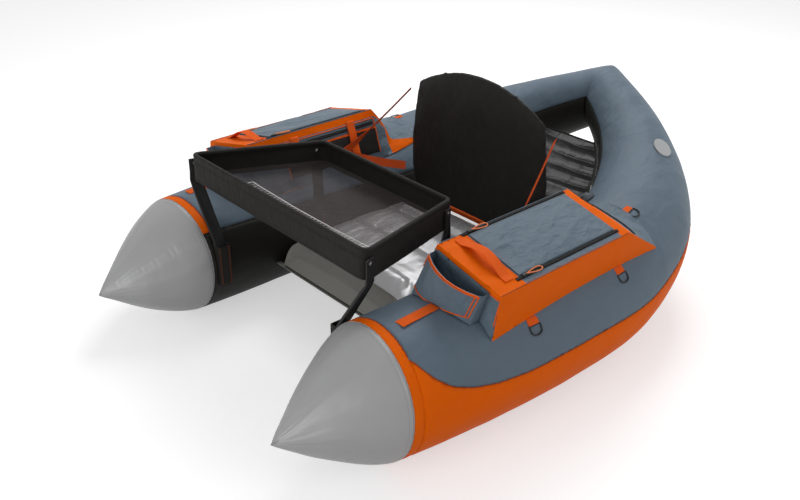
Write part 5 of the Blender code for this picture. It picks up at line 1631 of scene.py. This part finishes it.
def inner_patch(name, ys, downs, lift, finish, side, tree, bulge=0.0, thick=0.0008):
    """A patch of cloth on the bag's inner face, between two places along it and two depths."""
    row_count, column_count = int(240 * (downs[1] - downs[0])), int(160 * (ys[1] - ys[0]))
    rows = []
    for v in np.linspace(0, 1, max(row_count, 4)):
        row = []
        for u in np.linspace(0, 1, max(column_count, 4)):
            puff = bulge * abs(math.sin(math.pi * u) * math.sin(math.pi * v)) ** 0.6
            row.append(inner_place(ys[0] + (ys[1] - ys[0]) * u, downs[0] + (downs[1] - downs[0]) * v, side,
                                   tree, lift + puff))
        rows.append(row)
    bm = bmesh.new()
    grid_mesh(bm, [row for row in rows if None not in row])
    face_towards(bm, -ACROSS * side)
    thicken(finish_mesh(name, bm, finish, "hull", None, 40), thick)


pocket_mesh = cloth("Black pocket mesh", linear(30, 29, 28), linear(52, 50, 48), 0.7, 700, 0.0003, 30, 0.003)
for side_name, side in SIDES:
    tree = surface_of(bpy.data.objects[f"soft_bag_{side_name}"])
    patch = (PATCH_FRONT, PATCH_REAR)
    inner_patch(f"inner_zip_strip_{side_name}", patch, (STRIP_TOP, STRIP_FOOT), 0.0010, bag_cloth, side, tree)
    inner_patch(f"inner_mesh_pocket_{side_name}", patch, (MESH_TOP, MESH_FOOT), 0.0016, pocket_mesh, side,
                tree, bulge=0.004)
    for number, down in enumerate((STRIP_TOP, STRIP_FOOT + 0.0005, MESH_TOP)):
        line = [inner_place(y, down, side, tree, 0.0018) for y in np.linspace(*patch, 50)]
        sweep(f"inner_binding_{number}_{side_name}", skipped(line), EDGE_BINDING_RADIUS, orange_webbing)
    for number, y in enumerate(patch):
        line = [inner_place(y, down, side, tree, 0.0018) for down in np.linspace(STRIP_TOP, MESH_FOOT, 24)]
        sweep(f"inner_binding_end_{number}_{side_name}", skipped(line), EDGE_BINDING_RADIUS, orange_webbing)
    zip_ys = np.linspace(PATCH_FRONT + 0.006, PATCH_REAR - 0.006, 30)
    zip_points = skipped([inner_place(y, (STRIP_TOP + STRIP_FOOT) / 2, side, tree, 0.0022) for y in zip_ys])
    zip_line(f"inner_pocket_zip_{side_name}", [turned(p, side) for p in zip_points], side,
             Vector((-0.92, 0, 0.38)).normalized())
    for label, y, reach in (("long", 0.0, 0.116), ("short", -0.19, 0.040)):
        inner_patch(f"bag_hold_strap_{label}_{side_name}", (y - STRAP_HALF, y + STRAP_HALF), (0.013, reach),
                    0.0062, orange_webbing, side, tree, thick=0.0014)
        box_stitch = ((-0.009, 0.016), (0.009, 0.016), (0.009, 0.030), (-0.009, 0.030), (-0.009, 0.016))
        edge = [inner_place(y + aside, down, side, tree, 0.0068) for aside, down in box_stitch]
        if None not in edge:
            stitches(f"bag_hold_stitches_{label}_{side_name}", [edge], orange_thread, step=0.004,
                     length=0.0028)
print("inner faces of the bags made")

# %% [markdown]
# ## Backrest straps, seat base and leg pockets
#
# A forked strap on each side holds the backrest upright. One end is sewn to the bag, which stays with the
# hull, and the other to the backrest, which folds. The strap is built where it lies, from two twisted
# legs, and rides on neither body.

# %% Straps that cross the backrest's hinge
FORK_ROWS, FORK_HALF, FORK_THICK, FORK_SAG = 40, 0.0118, 0.0007, 0.004
# The forked straps take the orange webbing darkened, a painted shade for straps that hang in shadow.
shaded_fork_webbing = cloth("Orange fork webbing, painted shade", linear(190, 70, 24), linear(206, 96, 48), 0.7, 330, 0.0004,
                     shine=0.1)


def fork_leg(start, end, twist, side):
    """Sections of one leg of a strap, which turns by its twist in the first part of its run."""
    along = (end - start).normalized()
    flat_way = along.cross(ACROSS).normalized()
    rows = []
    for t in np.linspace(0, 1, FORK_ROWS):
        turned_share = min(t / 0.4, 1)
        turn = math.radians(twist * side) * (3 * turned_share**2 - 2 * turned_share**3)
        wide = Matrix.Rotation(turn, 3, along) @ flat_way
        thick = along.cross(wide).normalized() * FORK_THICK
        here = start.lerp(end, t) - UP * (FORK_SAG * math.sin(math.pi * t))
        wide *= FORK_HALF * (1 + 0.25 * max(0, 0.12 - t) / 0.12)
        corners = (here - wide - thick, here + wide - thick, here + wide + thick, here - wide + thick)
        rows.append([turned(p, side) for p in corners])
    return rows


for side_name, side in SIDES:
    node = f"backrest_strap_{side_name}"
    low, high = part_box(node)
    front_x, rear_x = max(abs(low.x), abs(high.x)) - 0.001, min(abs(low.x), abs(high.x)) + 0.001
    start = Vector((front_x, low.y + 0.012, 0.333))
    upper_end, lower_end = Vector((rear_x, high.y - 0.008, high.z - 0.010)), Vector((rear_x, 0.137, 0.267))
    bm = bmesh.new()
    for end, twist in ((upper_end, 40), (lower_end, -25)):
        grid_mesh(bm, fork_leg(start, end, twist, side), closed=True)
        bm.verts.ensure_lookup_table()
        leg_points = bm.verts[-4 * FORK_ROWS:]
        bm.faces.new(leg_points[:4])
        bm.faces.new(leg_points[-4:])
    bmesh.ops.recalc_face_normals(bm, faces=bm.faces)
    # The strap takes the webbing's painted shade.
    strap = finish_mesh(f"webbing_fork_{side_name}", bm, shaded_fork_webbing, None, node, 40)
    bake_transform(strap)

# %% Seat base and leg pockets
base_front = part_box("seat_base")[0].y + 0.012
bm = soften("seat_base", [((0, base_front, 0), (0, 1, 0))], bevel=0.0008, cell=0.02)
# The base's front strip takes the seat front's painted shade.
paint(bm, lambda p, n: int(p.y < base_front))
finish_mesh("seat_base_panel", bm, [black_cloth, silver_front_shade], "hull", "seat_base")
for side_name, side in SIDES:
    for where in ("front", "rear"):
        node = f"leg_sleeve_{where}_{side_name}"
        low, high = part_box(node)
        bm = soften(node, bevel=0.0007, cell=0.010)
        push(bm, lambda p, n: 0.0006 * noise.noise(p * 60) if abs(n.x) > 0.6 else 0.0)
        finish_mesh(f"leg_pocket_{where}_{side_name}", bm, black_cloth, "hull", node, 45)
        face_x = (low.x if side > 0 else high.x) - 0.0002 * side
        heights = np.linspace(low.z + 0.003, high.z - 0.002, 8)
        ys = np.linspace(low.y + 0.003, high.y - 0.003, 6)
        rows = [[Vector((face_x, y, z)) for z in heights]
                for y in (low.y + 0.0022, low.y + 0.0042, high.y - 0.0022, high.y - 0.0042)]
        rows.append([Vector((face_x, y, low.z + 0.004)) for y in ys])
        stitches(f"leg_pocket_stitches_{where}_{side_name}", rows, orange_thread, step=0.0066, length=0.0026,
                 radius=0.0003)
print("leg pockets made")

# %% [markdown]
# ## Rear deck
#
# Behind the backrest a sheet of shiny black cloth closes the gap between the tubes. It is gathered at its
# edges, so it lies in pleats that are deep at the sides and fade towards the middle. The pleats are a
# warped wave added to a hanging sheet, and the finish is smooth enough to catch the light along each
# crest. The cloth's flat size is worked out from the finished sheet, since its pleats take up length.

# %% The pleated sheet
PLEAT_SPACING, PLEAT_DEPTH, DECK_SAG, LENGTH_SHARE = 0.047, 0.0085, 0.014, 0.8
shiny_black = cloth("Shiny black sheet", linear(12, 11, 11), linear(22, 21, 20), 0.26, 700, 0.00004,
                    fold_size=12, fold_depth=0.004, shine=0.13)
deck_edge = {}
for p in [v.co for v in nodes["rear_deck"].data.vertices]:
    key = round(p.y, 3)
    if key not in deck_edge or p.x > deck_edge[key].x:
        deck_edge[key] = p.copy()
deck_ys = sorted(deck_edge)
deck_halves, deck_heights = [deck_edge[k].x for k in deck_ys], [deck_edge[k].z for k in deck_ys]


def deck_place(across, along):
    """A point of the pleated sheet: across from -1 to 1, along from 0 at its front to 1."""
    y = deck_ys[0] + (deck_ys[-1] - deck_ys[0]) * along
    half = float(np.interp(y, deck_ys, deck_halves)) - 0.0006
    z = float(np.interp(y, deck_ys, deck_heights)) - 0.001
    warp = 1.8 * noise.noise(Vector((across * 0.8, y * 5, 0)))
    warp += 0.3 * noise.noise(Vector((across * 2.5, y * 9, 2)))
    wave = abs(math.sin(y * math.pi / PLEAT_SPACING + warp)) ** 0.7
    depth = PLEAT_DEPTH * (0.30 + 0.70 * abs(across) ** 1.3)
    edge = min((1 - abs(across)) / 0.04, 1)
    hang = DECK_SAG * (1 - across**2) * math.sin(math.pi * (0.15 + 0.7 * along))
    fine = 0.0008 * noise.noise(Vector((across * 3, y * 34, 4)))
    return Vector((across * half, y, z - hang - edge * depth * wave + fine * edge))


bm = bmesh.new()
grid_mesh(bm, [[deck_place(2 * i / 90 - 1, j / 130) for i in range(91)] for j in range(131)])
face_towards(bm)
deck_area = sum(f.calc_area() for f in bm.faces)
deck = finish_mesh("pleated_deck", bm, shiny_black, "hull", "rear_deck", 180)
thicken(deck, 0.0008)
for side_name, side in SIDES:
    hem = [deck_place(0.985 * side, t) + UP * 0.001 for t in np.linspace(0, 1, 90)]
    sweep(f"deck_hem_{side_name}", hem, 0.0022, black_cloth)
for label, along in (("front", 0.004), ("rear", 0.996)):
    hem = [deck_place(a, along) + UP * 0.0006 for a in np.linspace(-0.985, 0.985, 70)]
    sweep(f"deck_hem_{label}", hem, 0.0018, black_cloth)
print("area of the deck's cloth:", round(deck_area, 3), "m2")

# %% [markdown]
# ## Small hard parts
#
# The rings, valves, caps and badges are moulded or plated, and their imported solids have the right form.
# They keep it and get finishes with dust, rubbed edges and a fine grain.

# %% Finishes for the hard parts
badge_plate = coated("Pale bare plate", linear(158, 160, 161), linear(146, 147, 148), 0.36, edge=0.3,
                     depth=0.00002)
grey_plastic = coated("Grey moulded plastic", linear(72, 78, 84), linear(104, 108, 112), 0.42)
for side_name, side in SIDES:
    dress(f"badge_{side_name}", badge_plate)
    dress(f"valve_{side_name}", grey_plastic)
    dress(f"valve_cap_{side_name}", grey_plastic)
    for number in (1, 2, 3):
        dress(f"d_ring_{number}_{side_name}", black_plastic)

# %% [markdown]
# ## Legs and the backrest's board
#
# The legs are flat bars with a satin black coating. Their solids give the place, and between the rivet
# and the foot each bar is made a little wider here, as it looks in the picture. The board behind the
# backrest's pad is stiff and covered in plain black cloth, so its solid only needs softer edges.

# %% Legs and board
LEG_WIDER, LEG_THICKER = 0.0030, 0.0010
board_cloth = cloth("Black board cover", linear(28, 27, 26), linear(48, 46, 44), 0.7, 420, 0.0003,
                    fold_size=12, fold_depth=0.003)


def fuller(p, n, low, high):
    """How far the bar grows between its foot and its rivet."""
    share = min(max((high.z - 0.035 - p.z) / 0.04, 0), 1) * min(max((p.z - low.z - 0.07) / 0.03, 0), 1)
    return share * (LEG_WIDER if abs(n.y) > 0.6 else LEG_THICKER)


for side_name, side in SIDES:
    for where in ("front", "rear"):
        node = f"leg_{where}_{side_name}"
        low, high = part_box(node)
        bm = soften(node, bevel=0.0006, cell=0.012)
        push(bm, lambda p, n: fuller(p, n, low, high))
        finish_mesh(f"flat_leg_{where}_{side_name}", bm, black_bar, "apron", node, 40)
bm = soften("backrest_board", bevel=0.0006, cell=0.03)
finish_mesh("backrest_back_cover", bm, board_cloth, "backrest", "backrest_board", 40)
print("nodes dressed:", sum(1 for n in nodes.values() if n.data.materials))
